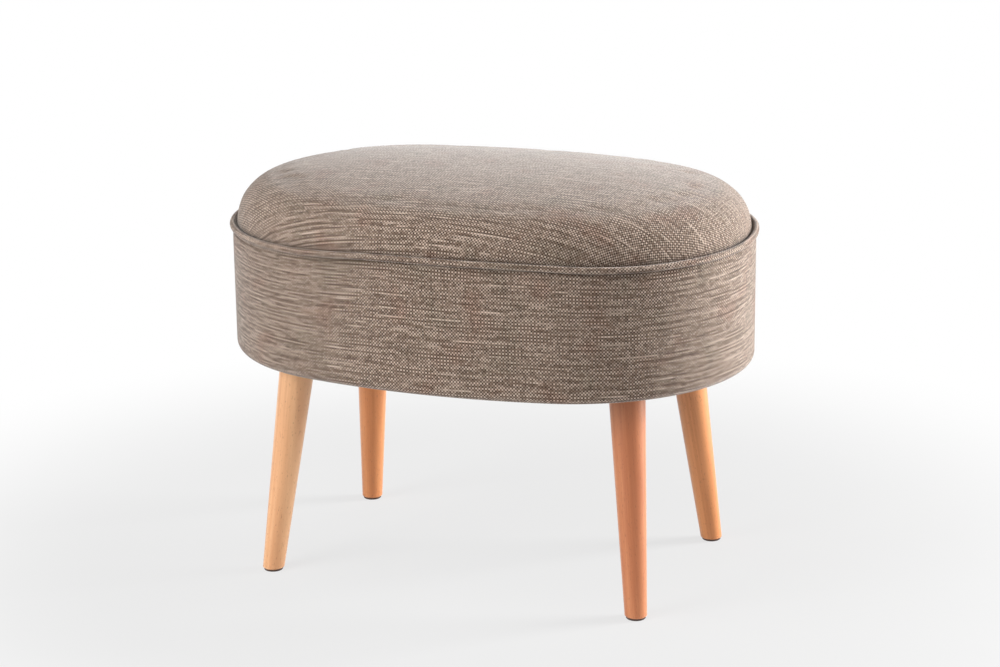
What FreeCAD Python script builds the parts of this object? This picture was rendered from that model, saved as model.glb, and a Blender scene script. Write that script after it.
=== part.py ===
import FreeCAD, Part
import math
import os

# Oval pouf: a board-and-post frame with padded sides and a crowned seat, covered in woven cloth,
# on four splayed and tapered legs. All sizes are millimetres. The origin is on the floor, under
# the middle of the body. X runs along the length, -Y is the front and +Z is up.

Vector = FreeCAD.Vector
UP = Vector(0, 0, 1)

# Outer form of the body
body_length = 600.0
body_width = 420.0
end_radius_share = 0.95
underside_height = 249.0
band_height = 149.0
crown_rise = 62.0
crown_shoulder_share = 0.8

# Cloth, padding and the gap left between neighbouring layers
fabric_thickness = 1.2
layer_gap = 0.3
wadding_thickness = 8.0
side_foam_thickness = 5.0

# Piping round the top seam
piping_cord_radius = 2.2
piping_outstand = 3.4
crown_clearance = 1.0

# Frame
base_thickness = 16.0
deck_thickness = 12.0
deck_below_seam = 26.0
wall_thickness = 3.0
wall_butt_gap = 1.0
post_width = 40.0
post_depth = 20.0
post_edge_distance = 4.0
post_places = ["right", "rear_right", "rear", "rear_left", "left", "front_left", "front", "front_right"]

# Post screws, one from below and one from above, set apart along the post's width
post_screw_offset = 8.0
post_screw_length = 50.0
post_screw_radius = 2.2
post_screw_head_radius = 4.5
post_screw_head_height = 3.0

# Pins that hold the wall panel
wall_nail_count = 16
wall_nail_length = 18.0
wall_nail_radius = 0.8
wall_nail_head_radius = 2.0
wall_nail_head_height = 0.8
base_nail_height_share = 0.65
deck_nail_height_share = 0.5

# Cloth and sheet under the base
band_turn_under = 18.0
dust_cover_thickness = 0.5
dust_cover_edge = 3.0
dust_cover_step = 1.2
staple_count = 48
staple_edge_distance = 6.0
staple_crown = 10.0
staple_leg = 8.0
staple_wire = 0.6

# Legs: bearing of the seat from the end centre, lean from upright and heading of the lean
leg_bearing = 46.2
leg_splay = 9.87
leg_heading = 56.7
leg_top_radius = 20.0
leg_foot_radius = 12.2
leg_top_round = 1.0
leg_foot_chamfer = 1.2

# Leg plates and their screws
plate_thickness = 2.5
plate_corner_radius = 5.0
plate_hole_edge = 7.0
plate_hole_clearance = 5.0
plate_boss_step = 2.0
plate_boss_rim = 0.8
plate_screw_length = 15.0
plate_screw_radius = 1.9
plate_screw_head_radius = 3.8
plate_screw_head_height = 2.0

# Hanger bolts
bolt_radius = 4.0
bolt_in_leg = 30.0
bolt_above_leg = 20.0
bolt_point = 6.0
bolt_clearance = 4.0

# Glides under the feet
glide_thickness = 2.5
glide_edge_clearance = 0.2
glide_round = 0.8
glide_nail_radius = 1.2
glide_nail_length = 16.0
glide_nail_head_radius = 3.5
glide_nail_head_height = 0.8
glide_nail_cover = 0.9

# How far a cutting tool runs past what it cuts
overrun = 10.0

# Longest arc, in degrees, that one face of a thin round spans
thin_round_arc = 30.0

# The outline is an oval of four tangent arcs: two round ends and two gently curved sides
half_length = body_length / 2
half_width = body_width / 2
end_radius = half_width * end_radius_share
end_centre = half_length - end_radius
side_radius = (end_centre ** 2 + half_width ** 2 - end_radius ** 2) / (2 * (half_width - end_radius))
side_centre = side_radius - half_width
side_angle = math.degrees(math.atan2(side_centre, end_centre))

# Heights
seam_height = underside_height + band_height
base_bottom = underside_height + fabric_thickness
base_top = base_bottom + base_thickness
deck_top = seam_height - deck_below_seam
deck_bottom = deck_top - deck_thickness

# Insets from the outline, worked inwards through the layers of the side
side_foam_inset = fabric_thickness + layer_gap
wall_inset = side_foam_inset + side_foam_thickness + layer_gap
board_inset = wall_inset + wall_thickness + layer_gap

# Piping: a cord in a folded strip, whose two layers run inwards as the seam allowance
sleeve_inner_radius = piping_cord_radius + layer_gap
sleeve_radius = sleeve_inner_radius + fabric_thickness
piping_inset = sleeve_radius - piping_outstand
sleeve_slit = layer_gap / 2
sleeve_half = sleeve_slit + fabric_thickness
seam_half = sleeve_half + fabric_thickness
band_near = sleeve_radius + layer_gap
band_far = band_near + fabric_thickness

# Crown: a quarter oval of two arcs, a tight shoulder and a flat dome over it
crown_inset = piping_inset + sleeve_radius + crown_clearance
shoulder_radius = crown_rise * crown_shoulder_share
dome_reach = end_radius - crown_inset - shoulder_radius
dome_drop = 2 * (crown_rise - shoulder_radius)
dome_radius = (crown_rise ** 2 + dome_reach ** 2 - shoulder_radius ** 2) / dome_drop
dome_start = math.degrees(math.atan2(dome_radius - crown_rise, -dome_reach))
wadding_depth = fabric_thickness + layer_gap
foam_depth = wadding_depth + wadding_thickness + layer_gap

# The seam allowances reach in to the foam's face
seam_inset = crown_inset + foam_depth - layer_gap

# The dust cover lies on the turned-under band at its rim and steps up to the board inside it
dust_rim_inset = board_inset + dust_cover_edge
dust_step_inset = board_inset + band_turn_under + layer_gap
dust_flat_inset = dust_step_inset + dust_cover_step + dust_cover_thickness

# Leg plates hang under the dust cover, and each leg meets the slanted face of its boss
plate_boss_radius = leg_top_radius - plate_boss_step
plate_hole_offset = (plate_boss_radius + plate_screw_head_radius + plate_hole_clearance) / math.sqrt(2)
plate_half = plate_hole_offset + plate_hole_edge
plate_top = base_bottom - dust_cover_thickness
plate_bottom = plate_top - plate_thickness

# Legs stand as near the outline as the corner of the turned plate lets them
plate_turn = math.radians(leg_heading - leg_bearing)
plate_reach = plate_half * (abs(math.cos(plate_turn)) + abs(math.sin(plate_turn)))
leg_inset = dust_flat_inset + layer_gap + plate_reach
leg_seat_height = plate_bottom - plate_boss_radius * math.sin(math.radians(leg_splay)) - plate_boss_rim
leg_length = (leg_seat_height - glide_thickness) / math.cos(math.radians(leg_splay))


def outline_arcs():
    """Centre, radius, start and end angle of the outline's arcs, from the right end round the rear."""
    return [
        (Vector(end_centre, 0, 0), end_radius, -side_angle, side_angle),
        (Vector(0, -side_centre, 0), side_radius, side_angle, 180 - side_angle),
        (Vector(-end_centre, 0, 0), end_radius, 180 - side_angle, 180 + side_angle),
        (Vector(0, side_centre, 0), side_radius, 180 + side_angle, 360 - side_angle),
    ]


def polar(centre, radius, angle):
    """Point on a horizontal circle."""
    return centre + Vector(math.cos(math.radians(angle)), math.sin(math.radians(angle)), 0) * radius


def oval_prism(inset, low, high):
    """Upright block with the outline drawn in by the inset."""
    edges = []
    for centre, radius, start, end in outline_arcs():
        stops = [polar(centre, radius - inset, angle) for angle in (start, (start + end) / 2, end)]
        edges.append(Part.Arc(*stops).toShape())
    face = Part.Face(Part.Wire(edges))
    face.translate(UP * low)
    return face.extrude(UP * (high - low))


def middle_prism(low, high):
    """Lens that lies between the two sides, where the rings swept round the outline end."""
    ends = [Vector(end_centre, 0, 0), Vector(-end_centre, 0, 0)]
    crest = Vector(0, half_width - end_radius, 0)
    rear = Part.Arc(ends[0], crest, ends[1]).toShape()
    front = Part.Arc(ends[1], -crest, ends[0]).toShape()
    face = Part.Face(Part.Wire([rear, front]))
    face.translate(UP * low)
    return face.extrude(UP * (high - low))


def profile_face(path, radius):
    """Upright face from a path of inset and height, set at a radius from the Z axis.

    The first step of the path is its start. Each later step has one point for a straight line or
    two points, a middle and an end, for an arc. A path that ends elsewhere than it started is
    closed with a straight line.
    """
    def place(point):
        inset, height = point
        return Vector(radius - inset, 0, height)

    corner = place(path[0][0])
    closing = [] if path[-1][-1] == path[0][0] else path[:1]
    edges = []
    for step in path[1:] + closing:
        points = [place(point) for point in step]
        if len(points) == 1:
            edges.append(Part.makeLine(corner, points[0]))
        else:
            edges.append(Part.Arc(corner, *points).toShape())
        corner = points[-1]
    return Part.Face(Part.Wire(edges))


def sweep_round(path, filling=None):
    """Carry a path round the whole outline, and join what fills the middle."""
    sectors = []
    for centre, radius, start, end in outline_arcs():
        sector = profile_face(path, radius).revolve(Vector(0, 0, 0), UP, end - start)
        sector.rotate(Vector(0, 0, 0), UP, start)
        sector.translate(centre)
        sectors.append(sector)
    if filling is not None:
        sectors.append(filling)
    return sectors[0].fuse(sectors[1:]).removeSplitter()


def arc_point(centre, radius, angle):
    """Point on a circle of a profile, as inset and height."""
    inset, height = centre
    return (inset + radius * math.cos(math.radians(angle)), height + radius * math.sin(math.radians(angle)))


def arc_step(centre, radius, start, end):
    """Step of a path along an arc: its middle and its end."""
    return [arc_point(centre, radius, (start + end) / 2), arc_point(centre, radius, end)]


def arc_steps(centre, radius, start, end):
    """Steps of a path along a thin round, in equal arcs that keep its faces narrow."""
    count = math.ceil(abs(end - start) / thin_round_arc)
    turn = (end - start) / count
    steps = []
    for index in range(count):
        begin = start + turn * index
        steps.append(arc_step(centre, radius, begin, begin + turn))
    return steps


def crown_start(depth, height):
    """Angle on the shoulder, at a depth under the surface, where it has the height."""
    lift = (height - seam_height) / (shoulder_radius - depth)
    return 180 - math.degrees(math.asin(lift))


SHOULDER = (crown_inset + shoulder_radius, seam_height)
DOME = (end_radius, seam_height + crown_rise - dome_radius)


def crown_outwards(depth, height):
    """Steps from the middle of the crown down its shoulder to the height."""
    return [
        arc_step(DOME, dome_radius - depth, 90, dome_start),
        arc_step(SHOULDER, shoulder_radius - depth, dome_start, crown_start(depth, height)),
    ]


def crown_inwards(depth, height):
    """Steps from the height on the shoulder up and over to the middle of the crown."""
    start = crown_start(depth, height)
    return [
        [arc_point(SHOULDER, shoulder_radius - depth, start)],
        arc_step(SHOULDER, shoulder_radius - depth, start, dome_start),
        arc_step(DOME, dome_radius - depth, dome_start, 90),
    ]


def spot_on_outline(share, inset):
    """Point and outward heading at a share of the way round, from the right end over the rear."""
    arcs = outline_arcs()
    lengths = [radius * math.radians(end - start) for centre, radius, start, end in arcs]
    travel = (share * sum(lengths) + lengths[0] / 2) % sum(lengths)
    for (centre, radius, start, end), length in zip(arcs, lengths):
        if travel <= length:
            heading = start + (end - start) * travel / length
            return polar(centre, radius - inset, heading), heading
        travel = travel - length


def turned(points):
    """Solid turned about the Z axis from a closed outline of radius and height."""
    corners = [Vector(radius, 0, height) for radius, height in points]
    return Part.Face(Part.makePolygon(corners + corners[:1])).revolve(Vector(0, 0, 0), UP, 360)


def countersunk_screw(length, radius, head_radius, head_height):
    """Screw that points up, with the face of its head at zero."""
    return turned([
        (0, 0),
        (head_radius, 0),
        (radius, head_height),
        (radius, length - radius * 2),
        (0, length),
    ])


def set_down(shape, spot, heading, height):
    """Turn a shape to a heading and move it to a spot at the height."""
    shape.rotate(Vector(0, 0, 0), UP, heading)
    shape.translate(spot + UP * height)
    return shape


def edges_at_height(shape, height):
    """Edges that lie flat at the height."""
    close = fabric_thickness / 100
    found = []
    for edge in shape.Edges:
        box = edge.BoundBox
        if abs(box.ZMin - height) < close and abs(box.ZMax - height) < close:
            found.append(edge)
    return found


# Cover


def make_top_panel():
    low = seam_height + sleeve_half
    top = seam_height + crown_rise
    path = [[(seam_inset, low)]]
    path += crown_inwards(0, low)
    path += [[(end_radius, top - fabric_thickness)]]
    path += crown_outwards(fabric_thickness, low + fabric_thickness)
    path += [[(seam_inset, low + fabric_thickness)]]
    return sweep_round(path, middle_prism(top - fabric_thickness, top))


def make_piping_sleeve():
    centre = (piping_inset, seam_height)
    outer_root = math.degrees(math.asin(sleeve_half / sleeve_radius))
    inner_root = math.degrees(math.asin(sleeve_slit / sleeve_inner_radius))
    path = [
        [(seam_inset, seam_height + sleeve_slit)],
        [(seam_inset, seam_height + sleeve_half)],
        [arc_point(centre, sleeve_radius, outer_root)],
        *arc_steps(centre, sleeve_radius, outer_root, 360 - outer_root),
        [(seam_inset, seam_height - sleeve_half)],
        [(seam_inset, seam_height - sleeve_slit)],
        [arc_point(centre, sleeve_inner_radius, 360 - inner_root)],
        *arc_steps(centre, sleeve_inner_radius, 360 - inner_root, inner_root),
    ]
    return sweep_round(path)


def make_piping_cord():
    centre = (piping_inset, seam_height)
    path = [[arc_point(centre, piping_cord_radius, 360)]]
    path += arc_steps(centre, piping_cord_radius, 0, 360)
    return sweep_round(path)


def make_side_band():
    piping = (piping_inset, seam_height)
    allowance_top = -math.degrees(math.asin(sleeve_half / band_near))
    allowance_bottom = -math.degrees(math.asin(seam_half / band_far))
    outer_face = -90 - math.degrees(math.asin(piping_inset / band_near))
    inner_face = -90 + math.degrees(math.asin((fabric_thickness - piping_inset) / band_far))
    edge = (board_inset, underside_height + board_inset)
    turned_end = board_inset + band_turn_under
    path = [
        [(turned_end, underside_height)],
        [(board_inset, underside_height)],
        *arc_steps(edge, board_inset, 270, 180),
        [arc_point(piping, band_near, outer_face)],
        *arc_steps(piping, band_near, outer_face, allowance_top),
        [(seam_inset, seam_height - sleeve_half)],
        [(seam_inset, seam_height - seam_half)],
        [arc_point(piping, band_far, allowance_bottom)],
        *arc_steps(piping, band_far, allowance_bottom, inner_face),
        [(fabric_thickness, edge[1])],
        *arc_steps(edge, board_inset - fabric_thickness, 180, 270),
        [(turned_end, base_bottom)],
    ]
    return sweep_round(path)


# Padding


def make_seat_wadding():
    low = seam_height + seam_half + layer_gap
    top = seam_height + crown_rise - wadding_depth
    path = [[(end_radius, top - wadding_thickness)]]
    path += crown_outwards(wadding_depth + wadding_thickness, low)
    path += crown_inwards(wadding_depth, low)
    return sweep_round(path, middle_prism(top - wadding_thickness, top))


def make_seat_foam():
    top = seam_height + crown_rise - foam_depth
    lip = seam_height - seam_half - layer_gap
    path = [
        [(end_radius, deck_top)],
        [(wall_inset, deck_top)],
        [(wall_inset, lip)],
        [(crown_inset + foam_depth, lip)],
    ]
    path += crown_inwards(foam_depth, seam_height)
    return sweep_round(path, middle_prism(deck_top, top))


def make_side_foam():
    edge = (board_inset, underside_height + board_inset)
    inner_inset = wall_inset - layer_gap
    round_radius = board_inset - side_foam_inset
    round_end = 180 + math.degrees(math.acos((board_inset - inner_inset) / round_radius))
    top = seam_height - band_far - layer_gap
    path = [
        [(inner_inset, top)],
        [(side_foam_inset, top)],
        [(side_foam_inset, edge[1])],
        *arc_steps(edge, round_radius, 180, round_end),
    ]
    return sweep_round(path)


# Frame


def make_wall_panel():
    inner_radius = board_inset - fabric_thickness
    reach = board_inset - wall_inset
    lift = inner_radius - math.sqrt(inner_radius ** 2 - reach ** 2) + layer_gap
    low = base_bottom + lift
    inner_inset = wall_inset + wall_thickness
    panel = sweep_round([
        [(wall_inset, low)],
        [(wall_inset, deck_top)],
        [(inner_inset, deck_top)],
        [(inner_inset, low)],
    ])
    corner = Vector(-wall_butt_gap / 2, half_width - inner_inset - overrun, low - overrun)
    butt = Part.makeBox(wall_butt_gap, inner_inset + overrun, deck_top - low + overrun * 2, corner)
    return panel.cut(butt)


def post_spot(index):
    """Middle of a post and its heading."""
    return spot_on_outline(index / len(post_places), board_inset + post_edge_distance + post_depth / 2)


def make_post(index):
    spot, heading = post_spot(index)
    corner = Vector(-post_depth / 2, -post_width / 2, 0)
    post = Part.makeBox(post_depth, post_width, deck_bottom - base_top, corner)
    return set_down(post, spot, heading, base_top)


def make_post_screws():
    screws = []
    for index in range(len(post_places)):
        spot, heading = post_spot(index)
        for height, flip in ((base_bottom, 0), (deck_top, 180)):
            screw = countersunk_screw(
                post_screw_length, post_screw_radius, post_screw_head_radius, post_screw_head_height)
            screw.translate(Vector(0, post_screw_offset, 0))
            screw.rotate(Vector(0, 0, 0), Vector(1, 0, 0), flip)
            screws.append(set_down(screw, spot, heading, height))
    return screws


def make_wall_nails():
    heights = [
        base_bottom + base_thickness * base_nail_height_share,
        deck_bottom + deck_thickness * deck_nail_height_share,
    ]
    nails = []
    for height in heights:
        for index in range(wall_nail_count):
            spot, heading = spot_on_outline((index + 0.5) / wall_nail_count, wall_inset)
            nail = turned([
                (0, 0),
                (wall_nail_head_radius, 0),
                (wall_nail_head_radius, wall_nail_head_height),
                (wall_nail_radius, wall_nail_head_height),
                (wall_nail_radius, wall_nail_length - wall_nail_radius * 2),
                (0, wall_nail_length),
            ])
            nail.rotate(Vector(0, 0, 0), Vector(0, 1, 0), -90)
            nails.append(set_down(nail, spot, heading, height))
    return nails


# Underside


def make_dust_cover():
    low = underside_height - dust_cover_thickness
    path = [
        [(dust_rim_inset, low)],
        [(dust_rim_inset, underside_height)],
        [(dust_step_inset, underside_height)],
        [(dust_step_inset + dust_cover_step, base_bottom)],
        [(end_radius, base_bottom)],
        [(end_radius, plate_top)],
        [(dust_flat_inset, plate_top)],
        [(dust_step_inset + dust_cover_thickness, low)],
    ]
    return sweep_round(path, middle_prism(plate_top, base_bottom))


def make_staple():
    """Staple that points up, with the face of its crown at zero and its crown along Y."""
    half_wire = staple_wire / 2
    half_crown = staple_crown / 2
    crown = Part.makeBox(staple_wire, staple_crown, staple_wire, Vector(-half_wire, -half_crown, 0))
    prongs = []
    for edge in (-half_crown, half_crown - staple_wire):
        prongs.append(Part.makeBox(staple_wire, staple_wire, staple_leg, Vector(-half_wire, edge, 0)))
    return crown.fuse(prongs).removeSplitter()


def make_staples(height, shift):
    """Row of staples round the edge of the base, shifted along by a share of their spacing."""
    staples = []
    for index in range(staple_count):
        spot, heading = spot_on_outline((index + shift) / staple_count, board_inset + staple_edge_distance)
        staples.append(set_down(make_staple(), spot, heading, height))
    return staples


# Legs and their hardware

LEG_CORNERS = {
    "front_left": (-1, -1),
    "front_right": (1, -1),
    "rear_left": (-1, 1),
    "rear_right": (1, 1),
}


def leg_frame(corner):
    """Seat of a leg on its boss, and the heading of its splay."""
    right, rear = LEG_CORNERS[corner]
    spot = polar(Vector(end_centre, 0, 0), end_radius - leg_inset, leg_bearing)
    seat = Vector(right * spot.x, rear * spot.y, leg_seat_height)
    heading = rear * (leg_heading if right > 0 else 180 - leg_heading)
    return seat, heading


def lean(shape, corner):
    """Move a shape that hangs from the origin along -Z to the leg's slanted axis."""
    seat, heading = leg_frame(corner)
    across = Vector(math.sin(math.radians(heading)), -math.cos(math.radians(heading)), 0)
    shape.rotate(Vector(0, 0, 0), across, leg_splay)
    shape.translate(seat)
    return shape


def axis_point(corner, height):
    """Point at the height on a leg's slanted axis."""
    seat, heading = leg_frame(corner)
    run = (leg_seat_height - height) * math.tan(math.radians(leg_splay))
    point = polar(Vector(seat.x, seat.y, 0), run, heading)
    return Vector(point.x, point.y, 0)


def make_leg(corner):
    taper = (leg_top_radius - leg_foot_radius) / leg_length
    long_length = leg_length + overrun
    long_radius = leg_foot_radius - taper * overrun
    leg = turned([
        (0, 0),
        (leg_top_radius - leg_top_round, 0),
        (leg_top_radius, -leg_top_round),
        (long_radius, -long_length),
        (0, -long_length),
    ])
    leg = lean(leg, corner)
    foot = axis_point(corner, glide_thickness)
    saw = leg_top_radius + overrun
    waste = Part.makeBox(saw * 2, saw * 2, saw, foot + Vector(-saw, -saw, glide_thickness - saw))
    leg = leg.cut(waste)
    return leg.makeChamfer(leg_foot_chamfer, edges_at_height(leg, glide_thickness))


def make_hanger_bolt(corner):
    bolt = turned([
        (0, bolt_above_leg),
        (bolt_radius, bolt_above_leg),
        (bolt_radius, bolt_point - bolt_in_leg),
        (0, -bolt_in_leg),
    ])
    return lean(bolt, corner)


def plate_screw_spots(corner):
    """Middles of the four screw holes of a leg plate."""
    middle = axis_point(corner, plate_bottom)
    heading = leg_frame(corner)[1]
    reach = plate_hole_offset * math.sqrt(2)
    return [polar(middle, reach, heading + quarter * 90 + 45) for quarter in range(4)]


def make_leg_plate(corner):
    low_corner = Vector(-plate_half, -plate_half, 0)
    plate = Part.makeBox(plate_half * 2, plate_half * 2, plate_thickness, low_corner)
    upright = [edge for edge in plate.Edges if edge.BoundBox.ZLength > plate_thickness / 2]
    plate = plate.makeFillet(plate_corner_radius, upright)
    plate = set_down(plate, axis_point(corner, plate_bottom), leg_frame(corner)[1], plate_bottom)
    boss_length = plate_top - leg_seat_height + plate_boss_radius
    boss = lean(Part.makeCylinder(plate_boss_radius, boss_length), corner)
    above = Part.makeBox(body_length, body_width, boss_length, Vector(-half_length, -half_width, plate_top))
    plate = plate.fuse(boss.cut(above)).removeSplitter()
    return plate.cut(make_hanger_bolt(corner))


def make_plate_screws(corner):
    screws = []
    for spot in plate_screw_spots(corner):
        screw = countersunk_screw(
            plate_screw_length, plate_screw_radius, plate_screw_head_radius, plate_screw_head_height)
        screws.append(set_down(screw, spot, 0, plate_bottom))
    return screws


def make_bolt_hole(corner):
    """Clearance hole for a hanger bolt, through the dust cover and the base board."""
    middle = axis_point(corner, (base_bottom + base_top) / 2)
    low = plate_top - overrun
    hole = Part.makeCylinder(bolt_radius + bolt_clearance, base_top - low + overrun)
    hole.translate(middle + UP * low)
    return hole


def make_glide(corner):
    radius = leg_foot_radius - leg_foot_chamfer - glide_edge_clearance
    glide = turned([
        (0, 0),
        (radius - glide_round, 0),
        (radius, glide_round),
        (radius, glide_thickness),
        (0, glide_thickness),
    ])
    glide.translate(axis_point(corner, glide_thickness))
    return glide


def make_glide_nail(corner):
    nail = turned([
        (0, 0),
        (glide_nail_head_radius, 0),
        (glide_nail_head_radius, glide_nail_head_height),
        (glide_nail_radius, glide_nail_head_height),
        (glide_nail_radius, glide_nail_length - glide_nail_radius * 2),
        (0, glide_nail_length),
    ])
    nail.translate(axis_point(corner, glide_thickness) + UP * glide_nail_cover)
    return nail


# Assembly

pieces = {}

pieces["top_panel"] = make_top_panel()
pieces["piping_sleeve"] = make_piping_sleeve()
pieces["piping_cord"] = make_piping_cord()
side_band = make_side_band()
pieces["seat_wadding"] = make_seat_wadding()
pieces["seat_foam"] = make_seat_foam()
pieces["side_foam"] = make_side_foam()

post_screws = make_post_screws()
wall_nails = make_wall_nails()
cover_staples = make_staples(underside_height, 0)
dust_staples = make_staples(underside_height - dust_cover_thickness - staple_wire, 0.5)
plate_screws = []
glide_nails = []
bolt_holes = []
for corner in LEG_CORNERS:
    plate_screws += make_plate_screws(corner)
    glide_nails.append(make_glide_nail(corner))
    bolt_holes.append(make_bolt_hole(corner))

base_board = oval_prism(board_inset, base_bottom, base_top)
pieces["base_board"] = base_board.cut(
    post_screws + wall_nails + cover_staples + dust_staples + plate_screws + bolt_holes)
deck_board = oval_prism(board_inset, deck_bottom, deck_top)
pieces["deck_board"] = deck_board.cut(post_screws + wall_nails)
pieces["wall_panel"] = make_wall_panel().cut(wall_nails)
for index, place in enumerate(post_places):
    pieces["post_" + place] = make_post(index).cut(post_screws)

pieces["side_band"] = side_band.cut(cover_staples + dust_staples)
pieces["dust_cover"] = make_dust_cover().cut(dust_staples + plate_screws + bolt_holes)

for corner in LEG_CORNERS:
    hanger_bolt = make_hanger_bolt(corner)
    pieces["hanger_bolt_" + corner] = hanger_bolt
    pieces["leg_" + corner] = make_leg(corner).cut([hanger_bolt] + glide_nails)
    pieces["leg_plate_" + corner] = make_leg_plate(corner).cut(plate_screws)
    pieces["glide_" + corner] = make_glide(corner).cut(glide_nails)

pieces["post_screws"] = Part.makeCompound(post_screws)
pieces["wall_nails"] = Part.makeCompound(wall_nails)
pieces["cover_staples"] = Part.makeCompound(cover_staples)
pieces["dust_cover_staples"] = Part.makeCompound(dust_staples)
pieces["leg_plate_screws"] = Part.makeCompound(plate_screws)
pieces["glide_nails"] = Part.makeCompound(glide_nails)

os.makedirs("parts", exist_ok=True)
for name, shape in pieces.items():
    shape.exportStep("parts/" + name + ".step")
    box = shape.BoundBox
    print(name, "solids", len(shape.Solids), "valid", shape.isValid(), "volume", round(shape.Volume, 1),
          "height", round(box.ZMin, 2), "to", round(box.ZMax, 2))
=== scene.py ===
# %% [markdown]
# # An oval pouf with a piped cushion top
#
# The pouf is a drum of boards and posts, padded round the side and over the top, and dressed in
# a heathered plain weave. Four splayed beech legs screw in from below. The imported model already
# holds the boards, posts, legs and hardware with their true sizes, so this lesson loads it as a
# fixed frame and adds what a solid modeller can't: soft cloth, threads, wood grain and light.

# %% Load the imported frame
import math

import bmesh
import bpy
from mathutils import Matrix, Vector, noise


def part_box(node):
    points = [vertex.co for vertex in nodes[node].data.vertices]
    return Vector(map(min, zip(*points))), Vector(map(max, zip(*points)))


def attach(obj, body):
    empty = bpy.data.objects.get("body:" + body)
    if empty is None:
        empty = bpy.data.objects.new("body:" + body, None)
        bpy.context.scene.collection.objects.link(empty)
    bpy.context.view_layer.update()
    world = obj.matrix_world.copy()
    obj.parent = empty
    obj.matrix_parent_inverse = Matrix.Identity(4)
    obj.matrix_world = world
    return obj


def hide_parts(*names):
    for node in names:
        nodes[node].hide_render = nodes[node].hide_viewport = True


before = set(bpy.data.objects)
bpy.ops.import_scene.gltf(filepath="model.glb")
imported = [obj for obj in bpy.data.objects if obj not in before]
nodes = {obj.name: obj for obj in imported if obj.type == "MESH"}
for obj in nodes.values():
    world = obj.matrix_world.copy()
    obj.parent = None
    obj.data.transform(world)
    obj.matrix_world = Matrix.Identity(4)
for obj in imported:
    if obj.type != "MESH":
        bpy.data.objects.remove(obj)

for name in ("Cube", "Light", "Camera"):
    if name in bpy.data.objects:
        bpy.data.objects.remove(bpy.data.objects[name])
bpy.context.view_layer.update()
MM = 0.001

# %% [markdown]
# ## The camera
#
# The camera is found by matching the drum's edges, its piping and its four feet, so it looks from
# the front right and a little above. Its long lens flattens the view, as a product shot does. It
# is set up first, because everything later is judged through it. A camera could be aimed with a
# Track To constraint, but a matrix built from three axes also takes the slight roll of the shot.

# %% Turn the camera
CAMERA_AZIMUTH = math.radians(22.392)
CAMERA_ELEVATION = math.radians(16.067)
CAMERA_ROLL = math.radians(-0.743)
CAMERA_DISTANCE = 2.9504
AIM = Vector((0, 0, 0.22))
IMAGE_WIDTH, IMAGE_HEIGHT = 1000, 667
FOCAL_PIXELS = 2589.6
AXIS_PIXEL = (493.05, 371.60)

back = Vector((
    math.sin(CAMERA_AZIMUTH) * math.cos(CAMERA_ELEVATION),
    -math.cos(CAMERA_AZIMUTH) * math.cos(CAMERA_ELEVATION),
    math.sin(CAMERA_ELEVATION),
))
level_right = (-back).cross(Vector((0, 0, 1))).normalized()
level_up = level_right.cross(-back)
right = level_right * math.cos(CAMERA_ROLL) + level_up * math.sin(CAMERA_ROLL)
up = level_up * math.cos(CAMERA_ROLL) - level_right * math.sin(CAMERA_ROLL)
print("the camera looks along", [round(value, 3) for value in -back])


# %% Place the camera
def add_object(name, data):
    """Put a mesh, a lamp or a camera into the scene as an object at the origin."""
    added = bpy.data.objects.new(name, data)
    bpy.context.scene.collection.objects.link(added)
    return added


camera_data = bpy.data.cameras.new("camera")
camera = add_object("camera", camera_data)
camera_data.sensor_width = 36
camera_data.lens = FOCAL_PIXELS * camera_data.sensor_width / IMAGE_WIDTH
camera_data.shift_x = (IMAGE_WIDTH / 2 - AXIS_PIXEL[0]) / IMAGE_WIDTH
camera_data.shift_y = (AXIS_PIXEL[1] - IMAGE_HEIGHT / 2) / IMAGE_WIDTH
turned = Matrix((right, up, back)).transposed().to_4x4()
camera.matrix_world = Matrix.Translation(AIM + back * CAMERA_DISTANCE) @ turned
bpy.context.scene.camera = camera
print("lens", round(camera_data.lens, 1), "mm")

# %% [markdown]
# ## The oval
#
# Seen from above, the drum is an oval of four tangent arcs: two round ends and two gently curved
# sides. Every soft piece follows it, so it is worth two small functions. One walks along the
# outline by a travelled length, and the other tells how far inside the outline a spot lies. Its
# length and width come from the cloth band of the frame, so the scene stays tied to the part. The
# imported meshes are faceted, so their boxes are rounded to a tenth of a millimetre, and the width to
# a whole one, because the facets of the two gently curved sides cut a little more off it.

# %% Measure the frame
def measured(value):
    """A length of the frame without the small error of its facets."""
    return round(value, 4)


band_low, band_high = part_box("side_band")
piping_low, piping_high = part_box("piping_sleeve")
half_length = measured(band_high.x)
half_width = round(band_high.y, 3)
underside = measured(band_low.z)
seam_height = measured((piping_low.z + piping_high.z) / 2)
crown_top = measured(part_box("top_panel")[1].z)
END_SHARE = 0.95

end_radius = half_width * END_SHARE
end_centre = half_length - end_radius
side_radius = (end_centre ** 2 + half_width ** 2 - end_radius ** 2) / (2 * (half_width - end_radius))
side_centre = side_radius - half_width
side_angle = math.atan2(side_centre, end_centre)

ARCS = [
    (Vector((end_centre, 0)), end_radius, 0, side_angle),
    (Vector((0, -side_centre)), side_radius, side_angle, math.pi - side_angle),
    (Vector((-end_centre, 0)), end_radius, math.pi - side_angle, math.pi + side_angle),
    (Vector((0, side_centre)), side_radius, math.pi + side_angle, math.tau - side_angle),
    (Vector((end_centre, 0)), end_radius, math.tau - side_angle, math.tau),
]
outline_length = sum(radius * (end - start) for centre, radius, start, end in ARCS)
print("outline", round(outline_length, 4), "m, seam at", round(seam_height, 4), "m")


# %% Walk along the outline
def outline_at(travel):
    """Point and outward normal at a travelled length, from the right end over the rear."""
    left = travel % outline_length
    for centre, radius, start, end in ARCS:
        if left <= radius * (end - start) + MM * MM:
            heading = start + left / radius
            normal = Vector((math.cos(heading), math.sin(heading)))
            return centre + normal * radius, normal
        left -= radius * (end - start)


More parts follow.
